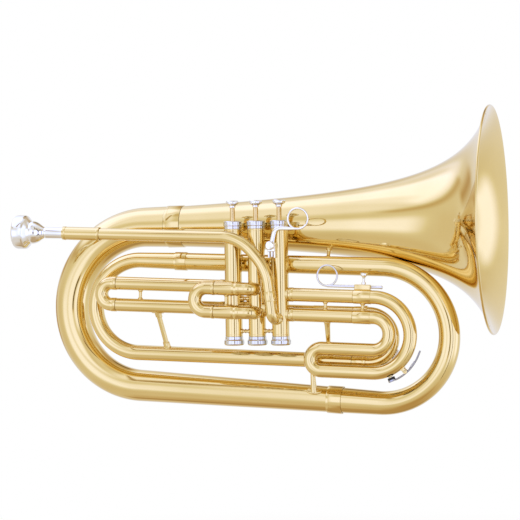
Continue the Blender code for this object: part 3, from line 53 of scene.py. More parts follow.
tubing = {
    "tilt": math.radians(2.4),  # the small tubing against the bell's axis
    "radius": 7.5, "wall": 0.6, "ferrule": 7.9, "gap": 0.3,
    "frontY": -18.6, "backY": 18.6, "branchY": 20.5, "leadY": -17.75,
}
valves = {
    "pitch": 26.9, "radius": 9.6, "wall": 0.9, "top": 66, "bottom": -67, "portReach": 10.1, "portRadius": 7.2,
    "portBore": 5.6, "knuckleZ": -28, "bridgeZ": -54, "collarZ": -17.6,
}
smallSides, bigSides = 48, 72
smallTurn, bigTurn = math.radians(4), math.radians(3)  # the largest turn from ring to ring in a bend
sharpTurn = math.radians(32)  # edges that turn more than this stay crisp

tubeWay = Vector((math.cos(tubing["tilt"]), 0, -math.sin(tubing["tilt"])))
tubeUp = Vector((math.sin(tubing["tilt"]), 0, math.cos(tubing["tilt"])))
valveXs = (-valves["pitch"], 0.0, valves["pitch"])
gap, tubeRadius, tubeFerrule = tubing["gap"], tubing["radius"], tubing["ferrule"]
tubeBore = tubeRadius - tubing["wall"]
legRadius = tubeBore - gap  # a sliding leg, inside its receiver
legBore = legRadius - tubing["wall"]


def onTubing(s, w, y=0.0):
    return tubeWay * s + tubeUp * w + yWay * y


def tubingHeight(x, w):
    return (w - x * math.sin(tubing["tilt"])) / math.cos(tubing["tilt"])


def tubingAt(x, w):
    return (x - w * math.sin(tubing["tilt"])) / math.cos(tubing["tilt"])


# Paths: lists of (point, direction)

def bendPath(before, corner, after, radius, turnStep):
    back, ahead = (before - corner).normalized(), (after - corner).normalized()
    turn = math.pi - back.angle(ahead)
    start = corner + back * radius * math.tan(turn / 2)
    centre = corner + (back + ahead).normalized() * radius / math.cos(turn / 2)
    axis = (-back).cross(ahead)
    steps = max(2, math.ceil(turn / turnStep - hair))
    turns = [Matrix.Rotation(turn * k / steps, 3, axis) for k in range(steps + 1)]
    return [(centre + r @ (start - centre), r @ -back) for r in turns]


def bowRadius(before, first, second, after):
    firstTurn = math.pi - (before - first).angle(second - first)
    secondTurn = math.pi - (first - second).angle(after - second)
    return (second - first).length / (math.tan(firstTurn / 2) + math.tan(secondTurn / 2))


def roundedPath(corners, radii, turnStep=smallTurn):
    path = [(corners[0], (corners[1] - corners[0]).normalized())]
    for k, radius in enumerate(radii):
        path += bendPath(corners[k], corners[k + 1], corners[k + 2], radius, turnStep)
    path.append((corners[-1], (corners[-1] - corners[-2]).normalized()))
    kept = [path[0]]
    for step in path[1:]:
        if (step[0] - kept[-1][0]).length > 10 * hair:
            kept.append(step)
    return kept


def straightPath(points):
    path = []
    for k, point in enumerate(points):
        ahead = points[min(k + 1, len(points) - 1)] - point
        behind = point - points[max(k - 1, 0)]
        path.append((point, (ahead.normalized() + behind.normalized()).normalized()))
    return path


def pathRuns(path):
    return [(b[0] - a[0]).length for a, b in zip(path, path[1:])]


def splitAt(path, marks):
    # the path as (distance, point, direction), with a point added at each mark
    total = sum(pathRuns(path))
    route, travelled = [(0.0, *path[0])], 0.0
    wanted = sorted(m for m in set(marks) if hair < m < total - hair)
    for (a, wayA), (b, wayB) in zip(path, path[1:]):
        length = (b - a).length
        while wanted and wanted[0] < travelled + length - hair:
            mark = wanted.pop(0)
            if mark > travelled + hair:
                share = (mark - travelled) / length
                route.append((mark, a.lerp(b, share), wayA.lerp(wayB, share).normalized()))
        travelled += length
        route.append((travelled, b, wayB))
    return route


def radiiAt(profile, mark):
    found = [radius for m, radius in profile if abs(m - mark) < 2 * hair]
    if found:
        return found
    for (m0, r0), (m1, r1) in zip(profile, profile[1:]):
        if m0 < mark < m1:
            return [r0 + (r1 - r0) * (mark - m0) / (m1 - m0)]
    return [profile[0][1] if mark < profile[0][0] else profile[-1][1]]


def axesMatrix(*axes):
    return Matrix(axes).transposed().to_4x4()


def placesAlong(route):
    # a frame for each point, carried along the route with no twist
    places, last = [], route[0][2]
    side = yWay if abs(last.y) < abs(last.x) + abs(last.z) else xWay
    for _, point, way in route:
        side = last.rotation_difference(way) @ side
        side = (side - way * side.dot(way)).normalized()
        places.append(Matrix.Translation(point) @ axesMatrix(side, way.cross(side), way))
        last = way
    return places


def growRings(places, sides):
    # one circle, extruded from place to place: each place holds its own radius as a scale
    bm = bmesh.new()
    ring = bmesh.ops.create_circle(bm, segments=sides, radius=1, matrix=places[0])["verts"]
    first, edges = ring, list(bm.edges)
    for here, there in zip(places, places[1:]):
        made = bmesh.ops.extrude_edge_only(bm, edges=edges)["geom"]
        ring = [item for item in made if isinstance(item, bmesh.types.BMVert)]
        fresh = set(ring)
        edges = [
            item for item in made
            if isinstance(item, bmesh.types.BMEdge) and item.verts[0] in fresh and item.verts[1] in fresh
        ]
        bmesh.ops.transform(bm, matrix=there @ here.inverted(), verts=ring)
    return bm, first, ring


def closedRod(places, sides):
    bm, first, last = growRings(places, sides)
    for ring in (first, last):
        bmesh.ops.contextual_create(bm, geom=ring)
    return bm


def ringPlaces(path, profile, marks):
    route = splitAt(path, marks)
    total = route[-1][0]
    rings = []
    for (mark, _, _), place in zip(route, placesAlong(route)):
        radii = radiiAt(profile, mark)
        if mark < hair or mark > total - hair:
            radii = radii[:1]
        rings += [place @ Matrix.Diagonal((radius, radius, radius, 1)) for radius in radii]
    return rings


def hollowTube(path, outer, inner, sides=smallSides):
    marks = [mark for mark, _ in outer + inner]
    loop = ringPlaces(path, outer, marks) + ringPlaces(path, inner, marks)[::-1]
    bm, _, _ = growRings(loop + loop[:1], sides)
    bmesh.ops.remove_doubles(bm, verts=bm.verts, dist=hair)
    return bm


def solidRod(path, profile, sides):
    return closedRod(ringPlaces(path, profile, [mark for mark, _ in profile]), sides)


def wireThrough(points, radius):
    path = straightPath(points)
    return solidRod(path, [(0, radius), (sum(pathRuns(path)), radius)], 12)


def flatBar(path, deep, wide):
    # a bar with its own half depth (along y at its start) and half width along the path
    route = splitAt(path, [mark for mark, _ in deep + wide])
    return closedRod([
        place @ Matrix.Diagonal((radiiAt(deep, mark)[0], radiiAt(wide, mark)[0], 1, 1))
        for (mark, _, _), place in zip(route, placesAlong(route))
    ], 32)


# Profiles

def stepsFrom(height, radius, *steps):
    return [(height + along, radius + out) for along, out in steps]


def band(start, end, base, crown, edge=0.3):
    # a raised band with rounded edges
    rounded = ((edge, crown), (0.3 * edge, crown - 0.3 * edge), (0, crown - edge), (0, base))
    return [(start + along, r) for along, r in rounded[::-1]] + [(end - along, r) for along, r in rounded]


def thinner(profile, wall):
    return stepsFrom(0, -wall, *profile)


def mirrored(profile):
    # the profile up to its middle, then the same the other way round
    middle = profile[-1][0]
    return profile + [(2 * middle - along, radius) for along, radius in profile[:-1][::-1]]


# Turned pieces and blocks

def towards(origin, way):
    return Matrix.Translation(origin) @ Vector(way).to_track_quat("Z", "Y").to_matrix().to_4x4()


def spun(bm, verts, edges, sides):
    bmesh.ops.spin(
        bm, geom=verts + edges, cent=(0, 0, 0), axis=(0, 0, 1), dvec=(0, 0, 0),
        angle=math.tau, steps=sides, use_merge=True,
    )


def turned(profile, sides=smallSides, origin=Vector(), way=zWay, hollow=False):
    bm = bmesh.new()
    verts = [bm.verts.new((radius, 0, height)) for height, radius in profile]
    edges = [bm.edges.new(pair) for pair in zip(verts, verts[1:])]
    if hollow:
        edges.append(bm.edges.new((verts[-1], verts[0])))
    spun(bm, verts, edges, sides)
    bmesh.ops.remove_doubles(bm, verts=bm.verts, dist=hair / 10)
    bm.transform(towards(origin, way))
    return bm


def wireRing(centre, way, radius, wire):
    bm = bmesh.new()
    start = Matrix.Translation((radius, 0, 0)) @ Matrix.Rotation(math.pi / 2, 4, "X")
    verts = bmesh.ops.create_circle(bm, segments=20, radius=wire, matrix=start)["verts"]
    spun(bm, verts, list(bm.edges), 96)
    bm.transform(towards(centre, way))
    return bm


def block(centre, size, edge, turn=Matrix()):
    bm = bmesh.new()
    bmesh.ops.create_cube(bm, size=1, matrix=Matrix.Diagonal((*size, 1)))
    bmesh.ops.bevel(
        bm, geom=list(bm.edges), offset=edge, offset_type="OFFSET", affect="EDGES",
        segments=4, profile=0.5, material=-1,
    )
    bm.transform(turn @ Matrix.Translation(centre))
    return bm


def merged(bm, *others):
    for other in others:
        passing = bpy.data.meshes.new("passing")
        other.to_mesh(passing)
        other.free()
        bm.from_mesh(passing)
        bpy.data.meshes.remove(passing)
    return bm


def newObject(name, bm):
    mesh = bpy.data.meshes.new(name)
    bm.to_mesh(mesh)
    bm.free()
    made = bpy.data.objects.new(name, mesh)
    bpy.context.scene.collection.objects.link(made)
    return made


def addPiece(name, bm, finish="brass", body="root", nodes=()):
    bmesh.ops.recalc_face_normals(bm, faces=bm.faces)
    bm.transform(Matrix.Scale(mm, 4))
    piece = newObject(name, bm)
    piece.data.shade_smooth()
    piece.data.set_sharp_from_angle(angle=sharpTurn)
    piece.data.materials.append(metals[finish])
    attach(piece, body)
    if nodes:
        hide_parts(*nodes)
    return piece


# Finishes

def newFinish(name):
    made = bpy.data.materials.new(name)
    made.use_nodes = True
    return made, made.node_tree, made.node_tree.nodes["Principled BSDF"]


def addNode(tree, kind, values=()):
    node = tree.nodes.new("ShaderNode" + kind)
    for name, value in dict(values).items():
        node.inputs[name].default_value = value
    return node


def grainNodes(tree, scale, detail, stretch=(1, 1, 1)):
    place, turn = addNode(tree, "TexCoord"), addNode(tree, "Mapping", {"Scale": stretch})
    grain = addNode(tree, "TexNoise", {"Scale": scale, "Detail": detail})
    tree.links.new(place.outputs["Object"], turn.inputs["Vector"])
    tree.links.new(turn.outputs["Vector"], grain.inputs["Vector"])
    return grain.outputs["Fac"]


def blendColours(tree, share, first, second):
    ramp = addNode(tree, "ValToRGB")
    for stop, place, colour in zip(ramp.color_ramp.elements, (0.35, 0.65), (first, second)):
        stop.position = place
        stop.color = (*colour, 1)
    tree.links.new(share, ramp.inputs["Fac"])
    return ramp.outputs["Color"]


def spread(tree, share, low, high):
    scale = addNode(tree, "MapRange", {"From Min": 0.3, "From Max": 0.7, "To Min": low, "To Max": high})
    tree.links.new(share, scale.inputs["Value"])
    return scale.outputs["Result"]


def polished(name, look):
    # metal with slow colour drift, uneven polish, faint polishing marks and, on brass, a clear lacquer
    made, tree, shader = newFinish(name)
    drift = grainNodes(tree, look["driftScale"], 3)
    tree.links.new(blendColours(tree, drift, *look["colours"]), shader.inputs["Base Color"])
    marks = grainNodes(tree, look["markScale"], 4, look.get("markStretch", (1, 1, 1)))
    tree.links.new(spread(tree, marks, *look["roughness"]), shader.inputs["Roughness"])
    bump = addNode(tree, "Bump", {"Strength": look["bump"], "Distance": look.get("bumpDepth", 0.05) * mm})
    tree.links.new(marks, bump.inputs["Height"])
    tree.links.new(bump.outputs["Normal"], shader.inputs["Normal"])
    shader.inputs["Metallic"].default_value = look.get("metallic", 1.0)
    shader.inputs["Coat Weight"].default_value = look.get("coat", 0.0)
    shader.inputs["Coat Roughness"].default_value = 0.03
    return made


finishes = {
    "brass": {
        "colours": ((0.815, 0.618, 0.222), (0.855, 0.652, 0.248)), "driftScale": 14, "markScale": 420,
        "roughness": (0.045, 0.085), "bump": 0.04, "coat": 0.6, "slot": "lacquered_brass",
    },
    "plainBrass": {
        "colours": ((0.74, 0.53, 0.20), (0.82, 0.61, 0.26)), "driftScale": 60, "markScale": 700,
        "markStretch": (1, 1, 0.08), "roughness": (0.1, 0.2), "bump": 0.12, "slot": "plain_brass",
    },
    "silver": {
        "colours": ((0.885, 0.870, 0.80), (0.945, 0.933, 0.865)), "driftScale": 40, "markScale": 600,
        "roughness": (0.03, 0.07), "bump": 0.04, "slot": "silver_plate",
    },
    "nickel": {
        "colours": ((0.70, 0.672, 0.58), (0.78, 0.75, 0.655)), "driftScale": 60, "markScale": 800,
        "roughness": (0.06, 0.13), "bump": 0.06, "slot": "nickel_trim",
    },
    "brightNickel": {
        "colours": ((0.90, 0.862, 0.70), (0.96, 0.92, 0.77)), "driftScale": 60, "markScale": 700,
        "roughness": (0.08, 0.16), "bump": 0.06, "slot": "nickel_trim",
    },
    "keyNickel": {
        "colours": ((0.34, 0.335, 0.325), (0.46, 0.455, 0.44)), "driftScale": 90, "markScale": 800,
        "roughness": (0.1, 0.2), "bump": 0.08, "slot": "nickel_trim",
    },
    "piston": {
        "colours": ((0.50, 0.485, 0.45), (0.60, 0.585, 0.55)), "driftScale": 50, "markScale": 500,
        "markStretch": (1, 1, 0.05), "roughness": (0.2, 0.36), "bump": 0.2,
    },
    "steel": {
        "colours": ((0.5, 0.5, 0.52), (0.62, 0.62, 0.64)), "driftScale": 80, "markScale": 900,
        "roughness": (0.22, 0.36), "bump": 0.1, "slot": "spring_steel",
    },
    "cork": {
        "colours": ((0.012, 0.011, 0.010), (0.035, 0.032, 0.03)), "driftScale": 700, "markScale": 1500,
        "roughness": (0.7, 0.9), "bump": 0.6, "bumpDepth": 0.2, "metallic": 0.0, "slot": "key_cork",
    },
    "pearl": {
        "colours": ((0.80, 0.75, 0.73), (0.72, 0.79, 0.77)), "driftScale": 220, "markScale": 320,
        "roughness": (0.12, 0.22), "bump": 0.05, "metallic": 0.0, "coat": 1.0, "slot": "silver_plate",
    },
}
metals = {name: polished(name, look) for name, look in finishes.items()}
print("finishes made")


# Bell

bell = {
    "rim": 127, "mouthX": 258.5, "length": 357, "z": 65.2, "y": 49.697, "flareLength": 34, "flarePower": 0.69,
    "wall": 0.9, "bead": 1.4, "faceReach": 9, "rings": 110, "sides": 160,
}
bellStart = bell["mouthX"] - bell["length"]


def bellAxis(x):
    return Vector((x, bell["y"], bell["z"]))


def bellRadius(x):
    back = max(bell["mouthX"] - x, 0.0)
    return bell["rim"] * (bell["flareLength"] / (back + bell["flareLength"])) ** bell["flarePower"]


def makeBell():
    bead, mouth = bell["bead"], bell["mouthX"]
    outer = []
    for k in range(bell["rings"] + 1):
        x = mouth - 1.15 * bead - (bell["length"] - 1.15 * bead) * (1 - k / bell["rings"]) ** 2
        outer.append((x, bellRadius(x)))
    rolled = []
    for k in range(25):  # the wire edge, from behind the wall round to its face
        turn = math.radians(255 - 276 * k / 24)
        rolled += stepsFrom(mouth - bead, bell["rim"] - bead, (bead * math.cos(turn), bead * math.sin(turn)))
    faceX, faceR = rolled[-1]
    step = bellRadius(faceX) - bell["wall"] - faceR
    inner = []
    for x, r in outer[::-1]:
        near = max(0.0, 1 - (faceX - x) / bell["faceReach"])
        if x < faceX - 0.3:
            inner.append((x, r - bell["wall"] - step * near * near))
    profile = stepsFrom(-bellStart, 0, *outer, *rolled, *inner)
    addPiece("bellFlare", turned(profile, bell["sides"], bellAxis(bellStart), xWay, hollow=True), nodes=["bell"])


makeBell()
print("bell made")


# Large bows

bows = {
    "wall": 0.8, "topRadius": 22.9, "sideRadius": 20.0, "bottomRadius": 18.1, "bottomEnd": 15.1, "rightBottom": 13.2,
    "rightTop": 10.5, "branch": 9.6, "inner": 8.7, "return": 8.2, "tilt": math.radians(3.66), "bottomZ": -127.1,
    "leftY": 38.5, "rightY": 27, "leftReach": -235.5, "leftStart": -118, "rightReach": 211.5, "jointX": 81.5,
    "jointStep": 0.8, "jointLength": 17, "branchW": 21, "branchStart": -94.7, "branchFerrule": 14,
    "innerReach": -195.9, "returnW": -84.7, "returnEnd": 107, "tuningLeg": 45, "bellFerrule": 18.9,
}


def bottomPoint(x):
    share = (x - bows["leftReach"]) / (bows["rightReach"] - bows["leftReach"])
    depth = bows["leftY"] + (bows["rightY"] - bows["leftY"]) * share
    return Vector((x, depth, bows["bottomZ"] - x * math.tan(bows["tilt"])))


def branchPoint(s):
    return onTubing(s, bows["branchW"], tubing["branchY"])


def returnPoint(s):
    return onTubing(s, bows["returnW"], tubing["backY"])


bottomWay = (bottomPoint(bows["rightReach"]) - bottomPoint(bows["leftReach"])).normalized()


def doubleBow(*corners):
    path = roundedPath(corners, [bowRadius(*corners)] * 2, bigTurn)
    runs = pathRuns(path)
    return path, runs, sum(runs)


def makeLargeBows():
    wall, b = bows["wall"], bows
    jointEnd = b["bottomEnd"] - b["jointStep"]
    path, runs, total = doubleBow(
        bellAxis(b["leftStart"]), bellAxis(b["leftReach"]), bottomPoint(b["leftReach"]),
        bottomPoint(b["jointX"] - gap / 2),
    )
    steepest = min(range(len(path)), key=lambda k: path[k][1].z)
    outer = [
        (0, bellRadius(bellStart)), (runs[0], b["topRadius"]), (sum(runs[:steepest]), b["sideRadius"]),
        (total - runs[-1], b["bottomRadius"]), (total, jointEnd),
    ]
    addPiece("leftBowTube", hollowTube(path, outer, thinner(outer, wall), bigSides), nodes=["left_bow"])

    topX = b["rightReach"]
    path, runs, total = doubleBow(
        branchPoint(b["branchStart"] + gap / 2), Vector((topX, tubing["branchY"], tubingHeight(topX, b["branchW"]))),
        bottomPoint(topX), bottomPoint(b["jointX"] + gap / 2),
    )
    outer = [(0, b["branch"]), (runs[0], b["rightTop"]), (total - runs[-1], b["rightBottom"]), (total, jointEnd)]
    addPiece("rightBowTube", hollowTube(path, outer, thinner(outer, wall), bigSides), nodes=["right_bow"])

    path, runs, total = doubleBow(
        branchPoint(b["branchStart"] - gap / 2), branchPoint(b["innerReach"]), returnPoint(b["innerReach"]),
        returnPoint(b["returnEnd"]),
    )
    outer = [(0, b["branch"]), (runs[0], b["inner"]), (total - runs[-1], b["inner"]), (total, b["return"])]
    mouth = b["return"] - tubing["wall"]
    inner = thinner(outer[:2], wall) + [(total - b["tuningLeg"] - gap, mouth - gap), (total, mouth)]
    addPiece("innerBowTube", hollowTube(path, outer, inner, bigSides), nodes=["inner_left_bow"])


def ferruleBand(name, centre, way, length, inside, node, wall=0.9):
    # a joint's sleeve: rounded ends, with one fine turned line near its start
    half, line, fine, outside = length / 2, 3.4, 0.12, inside + wall
    profile = band(-half, half, inside, outside)
    profile[4:4] = stepsFrom(line - half, outside, (-fine, 0), (0, -fine), (fine, 0))
    addPiece(name, turned(profile, bigSides, centre, way, hollow=True), nodes=[node])


makeLargeBows()
ferruleBand(
    "bellJointBand", bellAxis((bellStart + bows["leftStart"]) / 2), xWay, bows["bellFerrule"],
    bellRadius(bellStart) - 0.2, "bell_ferrule",
)
ferruleBand(
    "bottomJointBand", bottomPoint(bows["jointX"]), bottomWay, bows["jointLength"], bows["bottomEnd"] - 0.5,
    "bottom_ferrule",
)
ferruleBand(
    "branchJointBand", branchPoint(bows["branchStart"]), tubeWay, bows["branchFerrule"], bows["branch"] + 0.1,
    "upper_ferrule", 0.7,
)
print("large bows made")


# Valves

caps = {
    "thread": 9.3, "skirt": 9.8, "crown": 10.3, "topLow": 59.9, "topStep": 63.5, "topHigh": 68.9, "flange": 11.1,
    "bottomHigh": -59.9, "bottomLow": -69.9, "stemHole": 3.05, "vent": 1.2, "knurls": 60, "knurlDepth": 0.14,
}
plungers = {
    "stem": 2.75, "lidLow": 63.2, "lidHigh": 64.8, "lid": 8.2, "button": 7.25, "buttonLow": 83.9, "buttonHigh": 91.8,
}
leadPort = {"z": -40, "turn": math.radians(254.6)}
leadOut = Vector((math.cos(leadPort["turn"]), math.sin(leadPort["turn"]), 0))
slides = {
    "firstUpper": -5.6, "firstLower": -30, "firstSeam": -164, "firstBow": -170.3, "firstLeg": 60, "firstBrace": -136,
    "secondUpper": -7.1, "secondLower": -33.3, "secondSeam": -42.5, "secondBow": -52.7, "secondLeg": 28,
    "secondFerrule": 3, "secondBrace": -29.4, "secondRing": 25.5,
    "thirdUpper": -12, "thirdLower": -34.2, "thirdInner": -70.2, "thirdBottom": -94.9, "thirdSeam": 110.5,
    "thirdFerrule": 19.5, "thirdBow": 133.2, "thirdU": 76, "thirdLeg": 64, "thirdBrace": 79, "thirdMovingBrace": 121,
    "thirdKey": math.radians(-65),
    "tuningUpper": -31, "tuningSeam": 107, "tuningBow": 125, "tuningFerrule": 12, "tuningCollar": 118.9,
    "tuningKey": math.radians(-62), "tuningPlate": (math.radians(-19.5), math.radians(-47)),
    "portFerrule": 5, "endGap": 1.5,
}


def portsOf(index):
    # (direction, height, reach) of each stub on a casing
    x, half, z, reach = valveXs[index], valves["pitch"] / 2 - gap / 2, valves["knuckleZ"], valves["portReach"]

    def slidePorts(way, *names):
        return [(way, tubingHeight(x, slides[name]), reach) for name in names]

    if index == 0:
        return [(xWay, z, half)] + slidePorts(yWay, "tuningUpper") + slidePorts(-tubeWay, "firstUpper", "firstLower")
    if index == 1:
        return [(xWay, z, half), (-xWay, z, half)] + slidePorts(-yWay, "secondUpper", "secondLower")
    return [(-xWay, z, half), (leadOut, leadPort["z"], reach)] + slidePorts(tubeWay, "thirdUpper", "thirdLower")


def makeCasing(index):
    centre = Vector((valveXs[index], 0, 0))
    outside, bore, thread = valves["radius"], valves["radius"] - valves["wall"], caps["thread"] - 0.3
    low, high = caps["bottomHigh"], caps["topLow"]
    profile = [(valves["bottom"], bore), (valves["bottom"], thread), (low + 0.2, thread)]
    profile += band(low + 0.2, low + 2.4, outside, outside + 0.12, 0.1)
    profile += band(high - 2.6, high - 0.3, outside, outside + 0.16, 0.12)
    profile += [(high - 0.3, thread), (valves["top"], thread), (valves["top"], bore)]
    bm = turned(profile, 96, centre, hollow=True)
    r, inside = valves["portRadius"], valves["portBore"]
    for way, z, reach in portsOf(index):
        stub = [(6, inside), (6, r), (reach - 0.25, r), (reach, r - 0.2), (reach, inside)]
        merged(bm, turned(stub, smallSides, centre + zWay * z, way, hollow=True))
    start, middle = outside - 0.5, valves["pitch"] / 2
    if index < 2:
        shape = stepsFrom(start, 0, (0, 0), (0, 3.1), (0.9, 2.9), (1.5, 2.1))
        shape += stepsFrom(middle, 0, (-1.1, 1.7), (-0.5, 2.3), (0, 2.5))
        merged(bm, turned(mirrored(shape), 32, centre + zWay * valves["bridgeZ"], xWay))
    if index == 0:
        shape = [(start, 0), (start, 3.3)] + stepsFrom(middle, 0, (-1.9, 3.4), (-1.3, 2.6), (-0.5, 2.3), (0, 2.3))
        merged(bm, turned(mirrored(shape), 32, centre + zWay * valves["collarZ"], xWay))
    addPiece(f"valveCasing{index + 1}", bm, nodes=[f"valve_casing_{index + 1}"])


def knurledCap(profile, centre, low, high, least):
    # every second column of the grip pulled in
    bm = turned(profile, 2 * caps["knurls"], centre, hollow=True)
    step = math.pi / caps["knurls"]
    for vert in bm.verts:
        out = vert.co - centre
        flat = Vector((out.x, out.y, 0))
        if low <= out.z <= high and flat.length > least and round(math.atan2(out.y, out.x) / step) % 2:
            vert.co -= flat.normalized() * caps["knurlDepth"]
    return bm


def makeCaps(index):
    centre = Vector((valveXs[index], 0, 0))
    thread, skirt, crown, hole = caps["thread"], caps["skirt"], caps["crown"], caps["stemHole"]
    low, step, top = caps["topLow"], caps["topStep"], caps["topHigh"]
    profile = [(low, thread), (low, skirt - 0.3), (low + 0.3, skirt), (step - 0.5, skirt)]
    profile += stepsFrom(step, crown, (0, -0.15), (0.5, 0), (0.9, 0))
    profile += stepsFrom(top, crown, (-1.5, 0), (-1.1, 0), (-0.5, -0.25), (-0.12, -0.8), (0, -1.6))
    profile += stepsFrom(top, hole, (0, 3), (-0.3, 2.6), (-0.8, 2.4), (-0.9, 0.3), (-1.2, 0), (-2.6, 0))
    profile.append((top - 2.6, thread))
    bm = knurledCap(profile, centre, step + 0.85, top - 1.45, crown - 0.1)
    addPiece(f"topCap{index + 1}", bm, "nickel", nodes=[f"top_cap_{index + 1}"])

    bottom, high, flange, vent = caps["bottomLow"], caps["bottomHigh"], caps["flange"], caps["vent"]
    profile = [(high, thread)] + stepsFrom(high, skirt, (0, -0.2), (-0.3, 0.1), (-3.2, 0.2))
    profile += stepsFrom(high, flange, (-4, -0.3), (-4.5, 0), (-4.9, 0))
    profile += stepsFrom(bottom, flange, (2.2, 0), (1.8, 0), (0.9, -0.5), (0.3, -1.3), (0, -2.6))
    profile += stepsFrom(bottom, 0, (0, 4.4), (0.3, 3.8), (0.9, 3.3), (0.9, vent), (2.6, vent), (2.6, thread))
    bm = knurledCap(profile, centre, bottom + 2.1, high - 4.8, flange - 0.1)
    addPiece(f"bottomCap{index + 1}", bm, "nickel", nodes=[f"bottom_cap_{index + 1}"])


def makePlunger(index):
    body, centre = f"valve_{index + 1}", Vector((valveXs[index], 0, 0))
    stem, lid, r = plungers["stem"], plungers["lid"], plungers["button"]
    low, top = plungers["buttonLow"], plungers["buttonHigh"]
    profile = stepsFrom(plungers["lidLow"], 0, (0, 0), (0, lid - 0.2), (0.2, lid))
    profile += stepsFrom(plungers["lidHigh"], 0, (-0.2, lid), (0, lid - 0.2), (0, stem + 0.6), (0.6, stem))
    profile += stepsFrom(low, 0, (-0.6, stem), (-0.3, stem - 0.3), (-0.3, stem / 2), (1.2, stem / 2), (1.2, 0))
    addPiece(f"valveStem{index + 1}", turned(profile, 40, centre), "plainBrass", body, [f"valve_stem_{index + 1}"])
    profile = stepsFrom(low, 0, (1.5, 0), (1.5, stem / 2 + 0.3), (0, stem / 2 + 0.3))
    profile += stepsFrom(low, stem, (0, 0.7), (0.2, 0.9), (1.8, 0.9), (2.4, 1.3))
    profile += stepsFrom(low, r, (3.3, -1.1), (3.8, -0.4), (4.6, 0))
    profile += stepsFrom(top, r, (-2, 0), (-1.2, -0.15), (-0.5, -0.6), (-0.3, -1.1), (-0.5, -1.6), (-1, -1.8))
    profile += stepsFrom(top, 0, (-1.5, r - 1.8), (-1.5, 0))
    addPiece(f"fingerButton{index + 1}", turned(profile, 64, centre), "silver", body, [f"finger_button_{index + 1}"])
    inlay = r - 1.85
    profile = stepsFrom(top, inlay, (-1.45, -inlay), (-1.45, 0), (-0.75, 0), (-0.6, -0.3), (-0.95, -0.45 * inlay))
    profile.append((top - 1.05, 0))
    addPiece(f"buttonPearl{index + 1}", turned(profile, 64, centre), "pearl", body)


# The spring stands on the fixed guide, under the lid that presses on it; it is made at one length and does not shorten
springs = {"low": 39.75, "high": 62.15, "coil": 5.6, "wire": 0.45, "turns": 5, "pressed": 0.41}


def makeSpring(index):
    x, low, high, coil, wire = valveXs[index], springs["low"], springs["high"], springs["coil"], springs["wire"]
    points, count = [], springs["turns"] * 32
    for k in range(count + 1):
        angle = math.tau * springs["turns"] * k / count
        points.append(Vector((x + coil * math.cos(angle), coil * math.sin(angle), low + (high - low) * k / count)))
    piece = addPiece(
        f"valveSpring{index + 1}", wireThrough(points, wire), "steel", nodes=[f"valve_spring_{index + 1}"],
    )
    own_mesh(piece)


for valve in range(3):
    makeCasing(valve)
    makeCaps(valve)
    makePlunger(valve)
    makeSpring(valve)
    for kind, finish in (("piston", "piston"), ("valve_guide", "plainBrass")):
        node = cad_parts[f"{kind}_{valve + 1}"]
        node.data.materials.clear()
        node.data.materials.append(metals[finish])
print("valves made")


# Braces: turned spools whose feet follow the tubes they stand on. Each shape fits the span between two tubes.

braceSink = 0.4  # how deep a foot reaches into its tube


def spoolShape(rod, foot, footHeight, most, plate=0.9):
    def shape(span):
        tall = min(footHeight, span * most)
        end = [(-braceSink, 0), (-braceSink, foot - 0.1), (plate * 0.6, foot - 0.05), (plate * 0.9, foot - 0.3)]
        for k in range(1, 7):
            share = k / 6
            end.append((plate + (tall - plate) * share, rod + (foot - 0.7 - rod) * (1 - share) ** 2.2))
        return mirrored(end + [(span / 2, rod)])
    return shape


tubeSpool = spoolShape(1.8, 3, 2.4, 0.42)


def socketShape(span, rod=2.8, socket=3.9, tall=6):
    end = [(-braceSink, 0), (-braceSink, socket + 0.5), (0.5, socket + 0.5), (0.9, socket)]
    end += [(tall - 0.3, socket - 0.2), (tall, socket - 0.5), (tall, rod)]
    return end + [(span - h, r) for h, r in end[::-1]]


def postShape(span, top=4.1, waist=2.4, bottom=3.1, plate=0.7):
    # a turned post: a flared head, a taper to its waist, a bead and a plain foot
    shape = [(-braceSink, 0), (-braceSink, top - 0.15), (plate * 0.5, top), (plate, top - 0.25)]
    for k in range(1, 6):
        share = k / 5
        shape.append((plate + (0.2 * span - plate) * share, waist + 0.55 + (top - waist - 0.9) * (1 - share) ** 2))
    for along, out in ((0.6, 0), (0.63, 0.1), (0.66, 0.55), (0.71, 0.55), (0.74, 0.15), (0.9, 0.3)):
        shape.append((along * span, waist + out))
    return shape + stepsFrom(span, 0, (-0.9, bottom - 0.3), (-0.5, bottom), (braceSink, bottom), (braceSink, 0))


def coneShape(span, top=2.9, bottom=3.6, lip=1.1):
    shape = [(-braceSink, 0), (-braceSink, top + 0.45), (0.5, top + 0.5), (lip, top + 0.1), (lip + 0.5, top - 0.25)]
    for k in range(9):
        share = k / 8
        shape.append((lip + 0.6 + (span - lip - 1) * share, top - 0.3 + (bottom - top + 0.3) * share ** 1.7))
    return shape + [(span + braceSink, bottom), (span + braceSink, 0)]


def seatShift(offset, way, axis, radius):
    # how far along way a point beside the rod's line meets the tube
    flatO, flatW = offset - axis * offset.dot(axis), way - axis * way.dot(axis)
    a, b, c = flatW.dot(flatW), 2 * flatO.dot(flatW), flatO.dot(flatO) - radius * radius
    return (-b + math.sqrt(max(b * b - 4 * a * c, 0.0))) / (2 * a)


